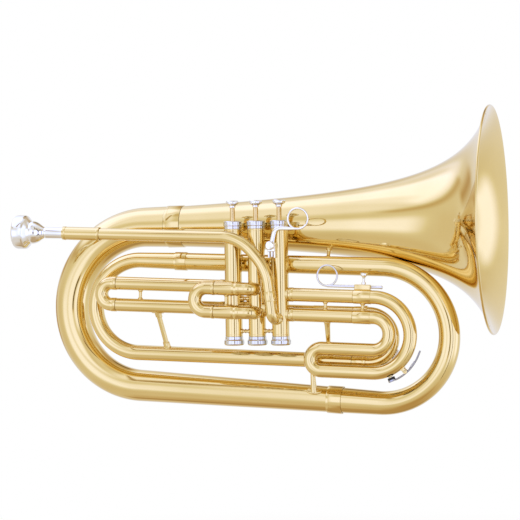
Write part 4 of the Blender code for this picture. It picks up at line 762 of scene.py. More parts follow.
def seatedSpool(a, axisA, radiusA, b, axisB, radiusB, shape, beside=Vector()):
    # beside: how far b lies from the second tube's axis
    way = (b - a).normalized()
    startA, startB = seatShift(Vector(), way, axisA, radiusA), seatShift(beside, -way, axisB, radiusB)
    span = (b - a).length - startA - startB
    bm = turned(shape(span), 40, a + way * startA, way)
    for vert in bm.verts:
        height = (vert.co - a).dot(way)
        offset = vert.co - a - way * height
        if height < startA + span / 2 - hair:
            vert.co += way * (seatShift(offset, way, axisA, radiusA) - startA)
        else:
            # an off-axis foot stops here, short of a spike
            vert.co -= way * max(seatShift(offset + beside, -way, axisB, radiusB) - startB, -1.6)
    return bm


def tubeBrace(s, upperW, lowerW, y=0.0, radius=tubeRadius):
    return seatedSpool(onTubing(s, upperW, y), tubeWay, radius, onTubing(s, lowerW, y), tubeWay, radius, tubeSpool)


def saddlePlate(seat, axis, way, radius, long, wide, wall):
    # an oval plate that lies on a tube round the place where way leaves it
    start = seatShift(Vector(), way, axis, radius)
    shape = [(-braceSink, 0), (-braceSink, wide - 0.05), (0.4 * wall, wide), (0.8 * wall, wide - 0.15)]
    shape += [(wall, wide - 0.45)] + [(wall, share * wide) for share in (0.8, 0.6, 0.4, 0.2, 0)]
    bm = turned(shape, 64, seat + way * start, way)
    for vert in bm.verts:
        height = (vert.co - seat).dot(way)
        offset = vert.co - seat - way * height
        offset += axis * offset.dot(axis) * (long / wide - 1)
        vert.co = seat + offset + way * (height + seatShift(offset, way, axis, radius) - start)
    return bm


# Slides and their fixed tubes

def receiverPair(name, valveX, endS, upperW, lowerW, braceS, node):
    away = math.copysign(valves["portReach"] + gap, valveX)
    bm = bmesh.new()
    for w in (upperW, lowerW):
        path = straightPath([onTubing(tubingAt(valveX, w) + away, w), onTubing(endS, w)])
        length = sum(pathRuns(path))
        outer = band(0, slides["portFerrule"], tubeRadius, tubeFerrule, 0.25)[1:]
        outer += [(length - 0.2, tubeRadius), (length, tubeRadius - 0.2)]
        merged(bm, hollowTube(path, outer, [(0, tubeBore), (length, tubeBore)]))
    addPiece(name, merged(bm, tubeBrace(braceS, upperW, lowerW)), nodes=[node])


def slideBow(corners, leg, ferrule):
    radii = []
    for k in range(1, len(corners) - 2, 2):
        radii += [bowRadius(*corners[k - 1:k + 3])] * 2
    path = roundedPath(corners, radii)
    total = sum(pathRuns(path))
    seam = band(leg, leg + ferrule, tubeRadius, tubeFerrule, 0.25)[1:]
    half = [(0, legRadius), (leg, legRadius)] + seam
    outer = half + [(total - along, radius) for along, radius in half[::-1]]
    return hollowTube(path, outer, [(0, legBore), (total, legBore)])


def bowCorners(legEnd, reach, upper, lower, y=0.0):
    return [onTubing(s, w, y) for s, w in ((legEnd, upper), (reach, upper), (reach, lower), (legEnd, lower))]


def makeFirstSlide():
    upper, lower, seam, leg = (slides[key] for key in ("firstUpper", "firstLower", "firstSeam", "firstLeg"))
    receiverPair("firstReceivers", valveXs[0], seam, upper, lower, slides["firstBrace"], "first_slide_receivers")
    seam -= gap
    corners = bowCorners(seam + leg, slides["firstBow"] - (upper - lower) / 2, upper, lower)
    bm = slideBow(corners, leg, seam - slides["firstBow"])
    addPiece("firstSlideBow", bm, body="first_slide", nodes=["first_slide"])


def elbowTube(x, side, endS, w, y, leg, ring=None):
    z, p = tubingHeight(x, w), valves["portRadius"]
    port, corner = Vector((x, side * (valves["portReach"] + gap), z)), Vector((x, y, z))
    path = roundedPath([port, corner, onTubing(endS, w, y)], [(corner - port).length * 0.96])
    total = sum(pathRuns(path))
    widens = total - leg - 1
    outer = [(0, p + 0.3), (1.6, p + 0.3), (1.9, p), (widens, p), (widens + 1, tubeRadius)]
    if ring:
        for k in range(13):  # a waisted ring
            share = k / 12
            out = 0.05 + 0.45 * abs(math.cos(math.pi * share)) ** 1.5
            outer.append((total - ring + 5.4 * share, tubeRadius + out))
    outer += [(total - 0.2, tubeRadius), (total, tubeRadius - 0.2)]
    inner = [(0, valves["portBore"]), (widens, valves["portBore"]), (widens + 0.5, tubeBore), (total, tubeBore)]
    return hollowTube(path, outer, inner)


def makeSecondSlide():
    upper, lower, seam, leg = (slides[key] for key in ("secondUpper", "secondLower", "secondSeam", "secondLeg"))
    y = tubing["frontY"]
    for name, w in (("upper", upper), ("lower", lower)):
        bm = elbowTube(valveXs[1], -1, seam, w, y, leg, slides["secondRing"])
        if name == "lower":
            merged(bm, tubeBrace(slides["secondBrace"], upper, lower, y))
        addPiece(f"secondReceiver{name.title()}", bm, nodes=[f"second_receiver_{name}"])
    leg -= slides["endGap"]
    corners = bowCorners(seam - gap + leg, slides["secondBow"] - (upper - lower) / 2, upper, lower, y)
    bm = slideBow(corners, leg, slides["secondFerrule"])
    addPiece("secondSlideBow", bm, body="second_slide", nodes=["second_slide"])


# Water keys

keys = {
    "spread": math.radians(19), "nipple": 2.2, "nippleBore": 1.3, "nippleHeight": 1, "corkHeight": 3, "cork": 4.1,
    "pivotHeight": 4.4, "pivot": 1.5, "saddleWidth": 8.4, "saddleLength": 5.4, "ear": 1.6, "leverWidth": 3.8,
    "leverThickness": 2, "tail": math.radians(30), "nose": math.radians(4), "coil": 2, "wire": 0.3,
}


def makeKey(prefix, centre, radius, turn, slideBm):
    tube, nipple, pad, ear, saddle = tubeRadius, keys["nipple"], keys["cork"], keys["ear"], keys["saddleWidth"]
    high, thick, bore = keys["pivotHeight"], keys["leverThickness"], keys["nippleBore"]

    def outward(angle):
        return tubeWay * math.cos(angle) + tubeUp * math.sin(angle)

    def at(angle, height):
        return centre + outward(angle) * (radius + height)

    top = tube + keys["nippleHeight"]
    profile = stepsFrom(tube, nipple, (-0.8, -nipple), (-0.8, 0.9), (0.2, 0.7), (0.5, 0))
    profile += [(top, nipple), (top, bore), (tube, bore), (tube, 0)]
    merged(slideBm, turned(profile, 32, at(turn, 0), outward(turn)))
    pivotTurn = turn + keys["spread"]
    out = outward(pivotTurn)
    around = out.cross(yWay)
    pivot = at(pivotTurn, tube + high)
    stand = Matrix.Translation(at(pivotTurn, 0)) @ axesMatrix(around, yWay, out)
    merged(slideBm, block(Vector((0, 0, tube + 0.2)), (keys["saddleLength"], saddle - 1.6, 1.8), 0.4, stand))
    for side in (-1, 1):
        profile = [(0, 0), (0, 2.1), (0.2, 2.3), (ear - 0.2, 2.3), (ear, 2.1), (ear, 0)]
        disc = turned(profile, 32, pivot + yWay * side * (saddle / 2 - ear), yWay * side)
        stem = block(Vector((0, side * (saddle - ear) / 2, tube + high / 2)), (3.8, ear, high), 0.25, stand)
        profile = [(0, 0), (0, 1.1), (0.35, 1.1), (0.6, 0.7), (0.65, 0)]
        merged(slideBm, disc, stem, turned(profile, 24, pivot + yWay * side * saddle / 2, yWay * side))

    low = top + 0.3
    top = low + keys["corkHeight"]
    profile = [(low, 0), (low, pad - 0.25), (low + 0.25, pad), (top, pad), (top, 0)]
    corkBm = turned(profile, 40, at(turn, 0), outward(turn))
    addPiece(f"{prefix}KeyCork", corkBm, "cork", f"{prefix}_key", [f"{prefix}_key_cork"])

    leverHeight = top + 0.3 + thick / 2
    start, end = turn + keys["nose"], pivotTurn + keys["tail"]
    places = []
    for k in range(29):
        share = k / 28
        way = outward(start + (end - start) * share)
        rise = 0.4 * math.sin(math.pi * share) + 0.3 * (max(0.0, share - 0.86) / 0.14) ** 2
        half = keys["leverWidth"] * (0.86 + 0.14 * math.cos(math.tau * share) - 0.25 * share) / 2
        face = Matrix.Translation(centre + way * (radius + leverHeight + rise)) @ axesMatrix(yWay, way, yWay.cross(way))
        places.append(face @ Matrix.Diagonal((half, thick / 2, half, 1)))
    lever = closedRod(places, 24)
    cup = stepsFrom(top, pad, (-0.3, 0.1), (-0.3, 0.3), (1.4, 0.4), (1.8, 0), (1.9, -1))
    cup += stepsFrom(top, 0, (1.9, 0), (0.1, 0), (0.1, pad + 0.1))
    half = saddle / 2 - ear - 0.2
    barrel = [(-half, 0), (-half, keys["pivot"]), (half, keys["pivot"]), (half, 0)]
    rise = leverHeight - tube - high
    merged(
        lever, turned(cup, 40, at(turn, 0), outward(turn)), turned(barrel, 32, pivot, yWay),
        block(
            Vector((0, 0, rise / 2)), (2.2, keys["leverWidth"] * 0.7, abs(rise) + 1), 0.2,
            Matrix.Translation(pivot) @ axesMatrix(around, yWay, out),
        ),
    )
    addPiece(f"{prefix}KeyLever", lever, "keyNickel", f"{prefix}_key", [f"{prefix}_key_lever"])

    coil = []
    for k in range(49):
        angle = math.tau * k / 16
        reach = out * math.cos(angle) + around * math.sin(angle)
        coil.append(pivot + reach * keys["coil"] + yWay * (k / 48 - 0.5) * 2.6)
    coil += [at(pivotTurn + math.radians(9), leverHeight - 1.2), at(pivotTurn + math.radians(16), leverHeight - 1)]
    addPiece(f"{prefix}KeySpring", wireThrough(coil, keys["wire"]), "steel", f"{prefix}_slide")


def makeThirdSlide():
    upper, lower, inner, bottom = (slides[key] for key in ("thirdUpper", "thirdLower", "thirdInner", "thirdBottom"))
    seam, leg, bowS = slides["thirdSeam"], slides["thirdLeg"], slides["thirdBow"]
    receiverPair("thirdReceivers", valveXs[2], seam, upper, lower, slides["thirdBrace"], "third_slide_receivers")
    legEnd, outerReach, innerReach = seam + gap - leg, bowS + (upper - bottom) / 2, bowS + (lower - inner) / 2
    uReach = slides["thirdU"] - (inner - bottom) / 2
    corners = [onTubing(s, w) for s, w in (
        (legEnd, upper), (outerReach, upper), (outerReach, bottom), (uReach, bottom),
        (uReach, inner), (innerReach, inner), (innerReach, lower), (legEnd, lower),
    )]
    bm = slideBow(corners, leg, slides["thirdFerrule"])
    merged(bm, tubeBrace(slides["thirdMovingBrace"], upper, lower, radius=tubeFerrule))
    makeKey("third", onTubing(bowS, (upper + bottom) / 2), (upper - bottom) / 2, slides["thirdKey"], bm)
    addPiece("thirdSlideBow", bm, body="third_slide", nodes=["third_slide"])


def makeTuningSlide():
    upper, lower, y, bowS = slides["tuningUpper"], bows["returnW"], tubing["backY"], slides["tuningBow"]
    bm = elbowTube(valveXs[0], 1, slides["tuningSeam"], upper, y, bows["tuningLeg"])
    addPiece("tuningReceiver", bm, nodes=["tuning_receiver"])
    leg, radius = bows["tuningLeg"] - slides["endGap"], (upper - lower) / 2
    corners = bowCorners(slides["tuningSeam"] + gap - leg, bowS + radius, upper, lower, y)
    bm = slideBow(corners, leg, slides["tuningFerrule"])
    centre = onTubing(bowS, (upper + lower) / 2, y)
    makeKey("tuning", centre, radius, slides["tuningKey"], bm)
    inside = tubeFerrule - 0.5
    ring = [(0, inside)] + band(0, 4.2, inside + 0.3, inside + 1.5, 0.5) + [(4.2, inside)]
    for w in (upper, lower):
        merged(bm, turned(ring, smallSides, onTubing(slides["tuningCollar"], w, y), tubeWay, hollow=True))
    addPiece("tuningSlideBow", bm, body="tuning_slide", nodes=["tuning_slide"])
    arc, (start, end) = [], slides["tuningPlate"]
    for k in range(19):  # the plate that the key's saddle stands on
        angle = start + (end - start) * k / 18
        arc.append(centre + (tubeWay * math.cos(angle) + tubeUp * math.sin(angle)) * (radius + tubeRadius + 0.8))
    plate = straightPath(arc)
    length = sum(pathRuns(plate))
    deep, wide = (
        [(0, least), (0.5, most), (length - 0.5, most), (length, least)] for least, most in ((2.2, 2.9), (0.6, 1.2))
    )
    addPiece("tuningKeyPlate", flatBar(plate, deep, wide), "silver", "tuning_slide")


makeFirstSlide()
makeSecondSlide()
makeThirdSlide()
makeTuningSlide()
print("slides and water keys made")


# Finger rings

fingerRing = {
    "radius": 11.3, "wire": 1.05, "s": 80.2, "rod": 1.6, "rodEnd": 142.7, "clampS": 111.5, "clampLength": 18,
    "clampWidth": 6.4, "clampWall": 0.7, "screwS": 121.5,
}
pinky = {
    "x": 21.5, "rod": 1.4, "clamp": (8.4, 6.6, 17), "clampZ": 35.5, "notch": (4.6, 7), "rodBottom": 28, "leanZ": 44,
    "ring": (51.5, 69.8), "strap": 2.6, "radius": 11.3, "wire": 1.2, "screwZ": 40.7,
}


def thumbScrew(tip, face, shank, head, origin, way, thread=1.2):
    # thread, shank, neck and a dished head
    thick, tall = shank
    profile = [(tip, 0), (tip, thread - 0.3), (tip + 0.3, thread), (face, thread)]
    profile += stepsFrom(face, thick, (0, -0.2), (0.2, 0), (tall - 0.3, 0), (tall, -0.3))
    return turned(profile + stepsFrom(face, 0, *head), 48, origin, way)


def makeFingerRing():
    ring, rod, wall = fingerRing, fingerRing["rod"], fingerRing["clampWall"]
    seat = slides["thirdUpper"] + tubeFerrule
    rodW = seat + 0.6 + wall + rod
    low, high = seat - 0.5, rodW + rod + 0.3 + wall
    middle = ring["clampS"] + ring["clampLength"] / 2
    size = (ring["clampLength"], ring["clampWidth"], high - low)
    clamp = block(Vector((middle, 0, (low + high) / 2)), size, 0.9, axesMatrix(tubeWay, yWay, tubeUp))
    addPiece("ringClampBlock", clamp, body="third_slide", nodes=["ring_clamp"])
    start, end = onTubing(ring["s"], rodW), onTubing(ring["rodEnd"], rodW)
    profile = stepsFrom(0, rod, (0, -0.5), (0.15, -0.15), (0.5, 0)) + stepsFrom(
        (end - start).length, rod, (-2.6, 0), (-2.2, 0.25), (-0.6, 0.25), (-0.15, -0.1), (0, -0.7),
    )
    rodBm = solidRod(straightPath([start, end]), profile, 32)
    merged(rodBm, wireRing(onTubing(ring["s"], rodW + ring["radius"]), yWay, ring["radius"], ring["wire"]))
    addPiece("fingerRingRod", rodBm, "nickel", "finger_ring", ["ring_rod"])
    head = (
        (2.2, 1.5), (3.4, 1.3), (5.6, 1.3), (7.4, 1.7), (8.6, 2.6), (9.4, 4.2), (9.9, 4.55), (11.6, 4.6), (12.3, 4.3),
        (12.5, 3.6), (12, 2.2), (12, 0),
    )
    tip = rodW + rod + 0.3
    screw = thumbScrew(0, high - tip + 0.3, (2.5, 2.2), head, onTubing(ring["screwS"], tip), tubeUp)
    addPiece("fingerRingThumbscrew", screw, "brightNickel", "finger_ring_screw", ["ring_screw"])


def makePinkyRing():
    x, rod, wire, strap = pinky["x"], pinky["rod"], pinky["wire"], pinky["strap"]
    (wide, deep, tall), (notchWide, notchTall) = pinky["clamp"], pinky["notch"]
    y = -(valves["radius"] + 0.3) - deep / 2
    legWide = (wide - notchWide) / 2
    clamp = block(Vector((x, y, pinky["clampZ"] + notchTall / 2)), (wide, deep, tall - notchTall), 0.8)
    for side in (-1, 1):  # the two prongs soldered to the casing
        spot = Vector((x + side * (wide - legWide) / 2, y + 0.8, pinky["clampZ"] - tall / 2 + notchTall / 2 + 0.5))
        merged(clamp, block(spot, (legWide, deep - 1.6, notchTall + 1), 0.5))
    addPiece("pinkyClampBlock", clamp, "brightNickel", nodes=["pinky_clamp"])
    ringX, ringZ = pinky["ring"]
    bottom = ringZ - pinky["radius"]
    corners = ((x, pinky["rodBottom"]), (x, pinky["leanZ"]), (x + 3.9, bottom + 1.3), (ringX + 1, bottom + 0.1))
    path = roundedPath([Vector((cornerX, y, z)) for cornerX, z in corners], [12, 7.5])
    length, rise = sum(pathRuns(path)), pinky["leanZ"] - pinky["rodBottom"]
    halfDeep = [(0, 0.9), (0.4, rod), (length - 12, rod - 0.1), (length, wire - 0.1)]
    halfWide = [
        (0, 0.9), (0.4, rod), (rise - 4, rod), (rise, strap), (rise + 17, strap - 0.2), (length - 12, 2),
        (length, wire - 0.1),
    ]
    ring = merged(flatBar(path, halfDeep, halfWide), wireRing(Vector((ringX, y, ringZ)), yWay, pinky["radius"], wire))
    addPiece("pinkyRingRod", ring, "brightNickel", "little_finger_ring", ["pinky_ring"])
    head = ((2.4, 4.2), (3, 4.7), (3.4, 4.8), (5.8, 4.8), (6.3, 4.6), (6.8, 3.9), (6.5, 2.4), (6.4, 0))
    screw = thumbScrew(rod + 0.3, deep / 2 + 0.3, (2.6, 1.6), head, Vector((x, y, pinky["screwZ"])), -yWay)
    addPiece("pinkyThumbscrew", screw, "brightNickel", "little_finger_screw", ["pinky_screw"])


makeFingerRing()
makePinkyRing()
print("finger rings made")


# Leadpipe and mouthpiece

lead = {
    "radius": 6.65, "w": 49.7, "firstCorner": -16, "secondCorner": (16.2, 14.6), "firstBend": 48, "secondBend": 58,
    "receiverStart": -224.2, "receiverEnd": -180, "receiver": 7.65, "insertion": 22.5, "ferruleFromEnd": 35,
}
mouthpiece = {"length": 80, "rim": 19.3, "cup": 12.8, "shank": 6.2, "throat": 3.3}


def leadPoint(s):
    return onTubing(s, lead["w"], tubing["leadY"])


def makeLeadpipe():
    axisPoint = Vector((valveXs[2], 0, leadPort["z"]))
    port = axisPoint + leadOut * (valves["portReach"] + gap)
    elbow = axisPoint + leadOut * (tubing["leadY"] / leadOut.y)
    cornerX, cornerZ = lead["secondCorner"]
    first, second = leadPoint(lead["firstCorner"]), Vector((cornerX, tubing["leadY"], cornerZ))
    start = leadPoint(lead["receiverStart"] + lead["insertion"] + 1)
    elbowRadius = (elbow - port).length / math.tan((math.pi - (second - elbow).angle(port - elbow)) / 2)
    path = roundedPath([start, first, second, elbow, port], [lead["firstBend"], lead["secondBend"], elbowRadius * 0.97])
    total, length, r = sum(pathRuns(path)), lead["receiverEnd"] - lead["receiverStart"], lead["radius"]
    at = total - lead["ferruleFromEnd"]
    outer = [(0, r - 0.5), (length, r)] + band(at, at + 11, r, r + 0.45)
    outer += stepsFrom(total, r, (-2.2, 0), (-1.9, 0.45), (0, 0.45))
    addPiece("leadpipeTube", hollowTube(path, outer, [(0, r - 1.1), (total, r - 0.9)]), nodes=["leadpipe"])

    outside, bore, depth = lead["receiver"], mouthpiece["shank"] + 0.3, lead["insertion"]
    profile = [(0, bore)] + band(0, 4, outside - 0.3, outside)[1:] + [(length - 3.4, outside - 0.3)]
    profile += band(length - 3.4, length, outside - 0.5, outside, 0.25)[1:-1]
    profile += [(length, r + 0.1), (depth + 1.2, r - 0.2), (depth, bore - 0.1)]
    socket = turned(profile, 64, leadPoint(lead["receiverStart"]), tubeWay, hollow=True)
    addPiece("mouthpieceSocket", socket, nodes=["mouthpiece_receiver"])


def makeMouthpiece():
    rim, cup, shank, throat, length = (mouthpiece[key] for key in ("rim", "cup", "shank", "throat", "length"))
    middle, half = (rim - 0.3 + cup) / 2, (rim - 0.3 - cup) / 2
    outer = []
    for k in range(17):  # the rounded rim, from its bite to its outer edge
        turn = math.pi * (1 - k / 16)
        outer.append((2.6 - 2.6 * math.sin(turn), middle + half * math.cos(turn)))
    outer += stepsFrom(
        0, rim, (3.6, -0.05), (4.4, 0), (11.6, -0.1), (12.6, -0.35), (13.6, -1), (14.6, -2), (16.4, -4.6),
    )
    outer += stepsFrom(
        0, cup, (18.2, 0.3), (19, -0.35), (19.8, -0.3), (20.6, 0.05), (21.4, 0.1), (23, -0.2), (25.5, -1),
        (28, -2.3), (30.5, -4.1),
    )
    outer += stepsFrom(0, shank, (32.6, 1), (34, 0.3), (34.8, -0.6), (35.4, -0.7), (36.2, 0.1), (37, 0.35), (38.2, 0.2))
    outer += stepsFrom(length, shank, (-lead["insertion"], 0), (-0.3, -0.6), (0, -0.9))
    inner = [(length, shank - 1.5), (31, throat)]
    for k in range(13):  # the bowl
        share = k / 12
        bowl = (cup - throat - 0.5) * math.sin(share * math.pi / 2) ** 0.62
        inner.append((29.5 - 26.2 * share, throat + 0.4 + bowl))
    bm = turned(outer + inner, 96, leadPoint(lead["receiverStart"] - length + lead["insertion"]), tubeWay, hollow=True)
    addPiece("mouthpieceCup", bm, "silver", "mouthpiece", ["mouthpiece"])


makeLeadpipe()
makeMouthpiece()
print("leadpipe and mouthpiece made")


# Braces of the fixed tubes

braces = {
    "returnS": (-117, -106), "returnPlate": (7.5, 4.4, 0.8), "thirdS": 81, "bottomS": 61, "bottomX": 59,
    "bottomLean": math.radians(35), "bottomBeside": 0.97, "bottomPlate": (8.6, 3.9, 1.3),
    "branchX": 76, "branchFoot": 3.9, "leadX": -95.7, "leadFoot": 2.8, "bellZ": 54,
}


def makeBraces():
    head, foot = onTubing(braces["returnS"][0], slides["firstLower"]), returnPoint(braces["returnS"][1])
    bm = seatedSpool(head, tubeWay, tubeRadius, foot, tubeWay, bows["inner"], socketShape)
    merged(bm, saddlePlate(head, tubeWay, (foot - head).normalized(), tubeRadius, *braces["returnPlate"]))
    addPiece("returnBrace", bm, nodes=["return_brace"])

    head, foot = onTubing(braces["thirdS"], slides["thirdLower"]), returnPoint(braces["thirdS"])
    post = seatedSpool(head, tubeWay, tubeRadius, foot, tubeWay, bows["inner"], postShape)
    addPiece("thirdPost", post, nodes=["third_slide_post"])

    outward = Vector((0, -math.cos(braces["bottomLean"]), math.sin(braces["bottomLean"])))
    seat, radius = bottomPoint(braces["bottomX"]), bows["bottomEnd"]
    beside = outward * radius * braces["bottomBeside"]
    head = returnPoint(braces["bottomS"])
    bm = seatedSpool(head, tubeWay, bows["inner"], seat + beside, bottomWay, radius, coneShape, beside)
    merged(bm, saddlePlate(seat, bottomWay, outward, radius, *braces["bottomPlate"]))
    addPiece("bottomPost", bm, nodes=["bottom_post"])

    for name, x, y, w, radius, foot in (
        ("branch", braces["branchX"], tubing["branchY"], bows["branchW"], bows["rightTop"] - 0.3, braces["branchFoot"]),
        ("leadpipe", braces["leadX"], tubing["leadY"], lead["w"], lead["radius"], braces["leadFoot"]),
    ):
        start, shape = Vector((x, y, tubingHeight(x, w))), spoolShape(1.9, foot, 3, 0.4)
        bm = seatedSpool(start, tubeWay, radius, bellAxis(x), xWay, bellRadius(x), shape)
        addPiece(f"{name}Brace", bm, nodes=[f"{name}_brace"])

    z = braces["bellZ"]
    for name, x in (("front", valveXs[2]), ("rear", valveXs[0])):
        edge = bell["y"] - math.sqrt(bellRadius(x) ** 2 - (bell["z"] - z) ** 2)
        shape = spoolShape(1.8, 3.4, 2.2, 1 / 3)(edge - valves["radius"])
        bm = turned(shape, 40, Vector((x, valves["radius"], z)), yWay)
        addPiece(f"bellBrace{name.title()}", bm, nodes=[f"bell_brace_{name}"])


makeBraces()
print("braces made")


# Camera, light and ground, in metres

view = {
    "azimuth": math.radians(15.2), "distance": 2.0, "height": 0.025, "aside": 0.0041, "roll": math.radians(-0.9),
    "sensor": 36, "focalPixels": 1797.3, "pixels": 520,
}
studio = {"floorZ": -0.42, "floorSize": 14.0, "skyLevel": 0.8}


def makeCamera():
    a, d, aside = view["azimuth"], view["distance"], view["aside"]
    lens = bpy.data.cameras.new("photoCamera")
    lens.sensor_width = view["sensor"]
    lens.lens = view["focalPixels"] / view["pixels"] * view["sensor"]
    lens.clip_start, lens.clip_end = 0.05, 50
    camera = bpy.data.objects.new("photoCamera", lens)
    spot = Vector((aside * math.cos(a) + d * math.sin(a), aside * math.sin(a) - d * math.cos(a), view["height"]))
    turn = Matrix.Rotation(a, 4, "Z") @ Matrix.Rotation(math.pi / 2, 4, "X") @ Matrix.Rotation(view["roll"], 4, "Z")
    camera.matrix_world = Matrix.Translation(spot) @ turn
    bpy.context.scene.collection.objects.link(camera)
    bpy.context.scene.camera = camera


def mathNode(tree, operation, *values):
    node = addNode(tree, "Math")
    node.operation = operation
    for value, socket in zip(values, node.inputs):
        tree.links.new(value, socket)
    return node.outputs[0]


def mixedShaders(tree, share, first, second, target):
    mix = addNode(tree, "MixShader")
    for value, socket in zip((share, first.outputs[0], second.outputs[0]), mix.inputs):
        tree.links.new(value, socket)
    tree.links.new(mix.outputs[0], target.inputs["Surface"])


def whiteForView(tree):
    # 1 for camera, mirror and glass rays, 0 for the light that falls on things
    path = addNode(tree, "LightPath").outputs
    direct = mathNode(tree, "MAXIMUM", path["Is Camera Ray"], path["Is Glossy Ray"])
    return mathNode(tree, "MAXIMUM", direct, path["Is Transmission Ray"])


def makeSky():
    world = bpy.data.worlds.new("studioSky")
    bpy.context.scene.world = world
    world.use_nodes = True
    tree = world.node_tree
    tree.nodes.clear()
    plain = addNode(tree, "Background", {"Color": (1.0, 0.99, 0.97, 1), "Strength": studio["skyLevel"]})
    white = addNode(tree, "Background", {"Color": (1, 1, 1, 1), "Strength": 1.0})
    mixedShaders(tree, whiteForView(tree), plain, white, addNode(tree, "OutputWorld"))


def makeFloor():
    bm = bmesh.new()
    spot = Matrix.Translation((0, 0, studio["floorZ"]))
    bmesh.ops.create_grid(bm, x_segments=1, y_segments=1, size=studio["floorSize"] / 2, matrix=spot)
    floor = newObject("studioFloor", bm)
    made, tree, shader = newFinish("paleFloor")
    shader.inputs["Base Color"].default_value = (0.9, 0.9, 0.9, 1)
    shader.inputs["Roughness"].default_value = 0.7
    shader.inputs["Specular IOR Level"].default_value = 0.2
    place, reach = addNode(tree, "TexCoord"), addNode(tree, "VectorMath")
    reach.operation = "LENGTH"
    fade = addNode(tree, "MapRange", {"From Min": 0.5, "From Max": 1.3})
    fade.interpolation_type = "SMOOTHSTEP"
    tree.links.new(place.outputs["Object"], reach.inputs[0])
    tree.links.new(reach.outputs["Value"], fade.inputs["Value"])
    seen = mathNode(tree, "MULTIPLY", fade.outputs["Result"], whiteForView(tree))
    glow = addNode(tree, "Emission", {"Strength": 1.0})
    mixedShaders(tree, seen, shader, glow, tree.nodes["Material Output"])
    floor.data.materials.append(made)
    floor.visible_glossy = False  # the tent's darker cloth stands below too


def softLamp(name, spot, size, power):
    lamp = bpy.data.lights.new(name, "AREA")
    lamp.shape = "RECTANGLE"
    lamp.size, lamp.size_y = size
    lamp.energy = power
    made = bpy.data.objects.new(name, lamp)
    turn = (-Vector(spot)).to_track_quat("-Z", "Y").to_matrix().to_4x4()
    made.matrix_world = Matrix.Translation(spot) @ turn
    made.visible_glossy = False  # the tent's own panels are what the metal shows
    bpy.context.scene.collection.objects.link(made)


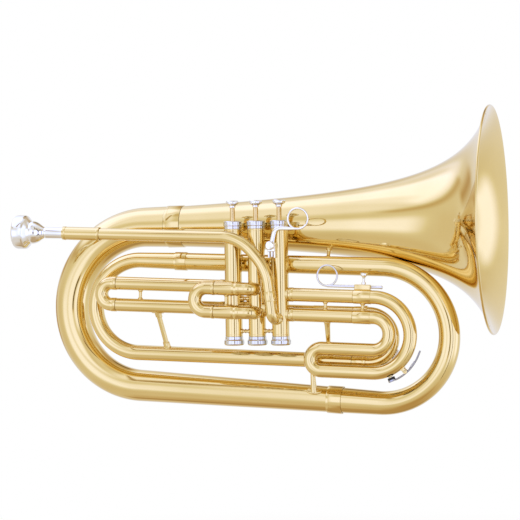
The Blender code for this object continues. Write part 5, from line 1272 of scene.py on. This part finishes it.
# The light tent round the object, which only mirrors show. Turns in degrees: round from the camera, then up.
tent = {
    "radius": 5.0, "columns": 240, "rows": 120,
    "cloth": (
        (-90, 0.38), (-75, 0.39), (-60, 0.50), (-45, 0.66), (-30, 0.78), (-15, 0.81), (5, 0.88), (20, 0.80),
        (32, 0.74), (45, 0.84), (60, 0.82), (75, 0.98), (90, 1.05),
    ),
    "panels": (  # middle, half size, soft edge, level
        ((-100, -52), (60, 12), 10, 0.70),
        ((10, -62), (28, 14), 10, 0.38),
        ((150, -63), (32, 11), 8, 0.34),
        ((-150, -66), (30, 8), 6, 0.34),
        ((-95, -8), (18, 22), 12, 0.74),
        ((-112, 58), (46, 27), 10, 1.5),
        ((-70, 55), (12, 12), 8, 1.25),
        ((-44, 52), (20, 24), 10, 1.12),
        ((-160, 46), (20, 14), 10, 1.0),
        ((-15, 64), (17, 9), 8, 0.62),
        ((50, 36), (28, 14), 9, 0.60),
        ((-50, -7), (15, 16), 9, 1.30),
        ((-15, 4), (15, 22), 7, 1.30),
        ((34, -2), (21, 24), 8, 1.30),
        ((78, 2), (16, 27), 9, 1.35),
        ((152, 52), (34, 20), 10, 0.42),
        ((168, 46), (12, 7), 5, 0.15),
        ((100, 42), (30, 4), 4, 0.60),
        ((-136, 14), (14, 4), 5, 0.40),
        ((-142, -4), (14, 9), 6, 0.42),
        ((4, -5), (4, 11), 2.5, 0.10),
        ((33, 2), (2.2, 42), 1.5, 0.04),
        ((20, 47), (3.5, 15), 3.5, 0.12),
        ((-38, 47), (2.2, 15), 2.5, 0.2),
        ((-92, 25), (40, 3), 4, 0.52),
        ((0, 90), (180, 6), 5, 1.2),
    ),
    "tints": (  # level, then red, green and blue shares: dim cloth is warm, bright panels are cool
        (0.12, (1.06, 1.0, 0.90)), (0.25, (1.32, 1.0, 0.60)), (0.38, (1.38, 1.0, 0.62)), (0.50, (1.22, 1.0, 0.76)),
        (0.66, (1.09, 1.0, 0.92)), (0.78, (1.01, 1.0, 1.07)), (0.90, (0.97, 1.0, 1.15)), (1.0, (0.95, 1.0, 1.38)),
        (1.3, (0.90, 1.0, 1.70)), (1.6, (0.88, 1.0, 1.90)),
    ),
}


def between(rows, height):
    for (h0, v0), (h1, v1) in zip(rows, rows[1:]):
        if height <= h1:
            return v0 + (v1 - v0) * (max(0.0, height - h0) / (h1 - h0))
    return rows[-1][1]


def softStep(inside, soft):
    share = min(1.0, max(0.0, 0.5 + inside / (2 * soft)))
    return share * share * (3 - 2 * share)


def tentLevel(turn, height):
    level = between(tent["cloth"], height)
    for (midTurn, midHeight), (halfTurn, halfHeight), soft, panel in tent["panels"]:
        apart = abs((turn - midTurn + 180) % 360 - 180)
        cover = softStep(halfTurn - apart, soft) * softStep(halfHeight - abs(height - midHeight), soft)
        level += (panel - level) * cover
    return level


def makeTent():
    bm = bmesh.new()
    bmesh.ops.create_uvsphere(bm, u_segments=tent["columns"], v_segments=tent["rows"], radius=tent["radius"])
    glow = bm.verts.layers.float_color.new("glow")
    tints = [(level, Vector(shares)) for level, shares in tent["tints"]]
    ahead = Vector((math.sin(view["azimuth"]), -math.cos(view["azimuth"]), 0))
    right = Vector((math.cos(view["azimuth"]), math.sin(view["azimuth"]), 0))
    for vert in bm.verts:
        way = vert.co.normalized()
        turn = math.degrees(math.atan2(way.dot(right), way.dot(ahead)))
        level = tentLevel(turn, math.degrees(math.asin(max(-1.0, min(1.0, way.z)))))
        vert[glow] = (*(between(tints, level) * level), 1)
    cloth = newObject("lightTent", bm)
    made, tree, _ = newFinish("tentCloth")
    level, light = addNode(tree, "Attribute"), addNode(tree, "Emission")
    level.attribute_name = "glow"
    tree.links.new(level.outputs["Color"], light.inputs["Color"])
    tree.links.new(light.outputs[0], tree.nodes["Material Output"].inputs["Surface"])
    cloth.data.materials.append(made)
    cloth.visible_camera = cloth.visible_diffuse = cloth.visible_shadow = cloth.visible_transmission = False


makeCamera()
makeSky()
makeFloor()
makeTent()
softLamp("topSoftbox", (-0.6, -0.9, 1.7), (2.2, 1.2), 9)
bpy.context.scene.view_settings.view_transform = "Standard"
print("camera, sky, floor and lamps made")
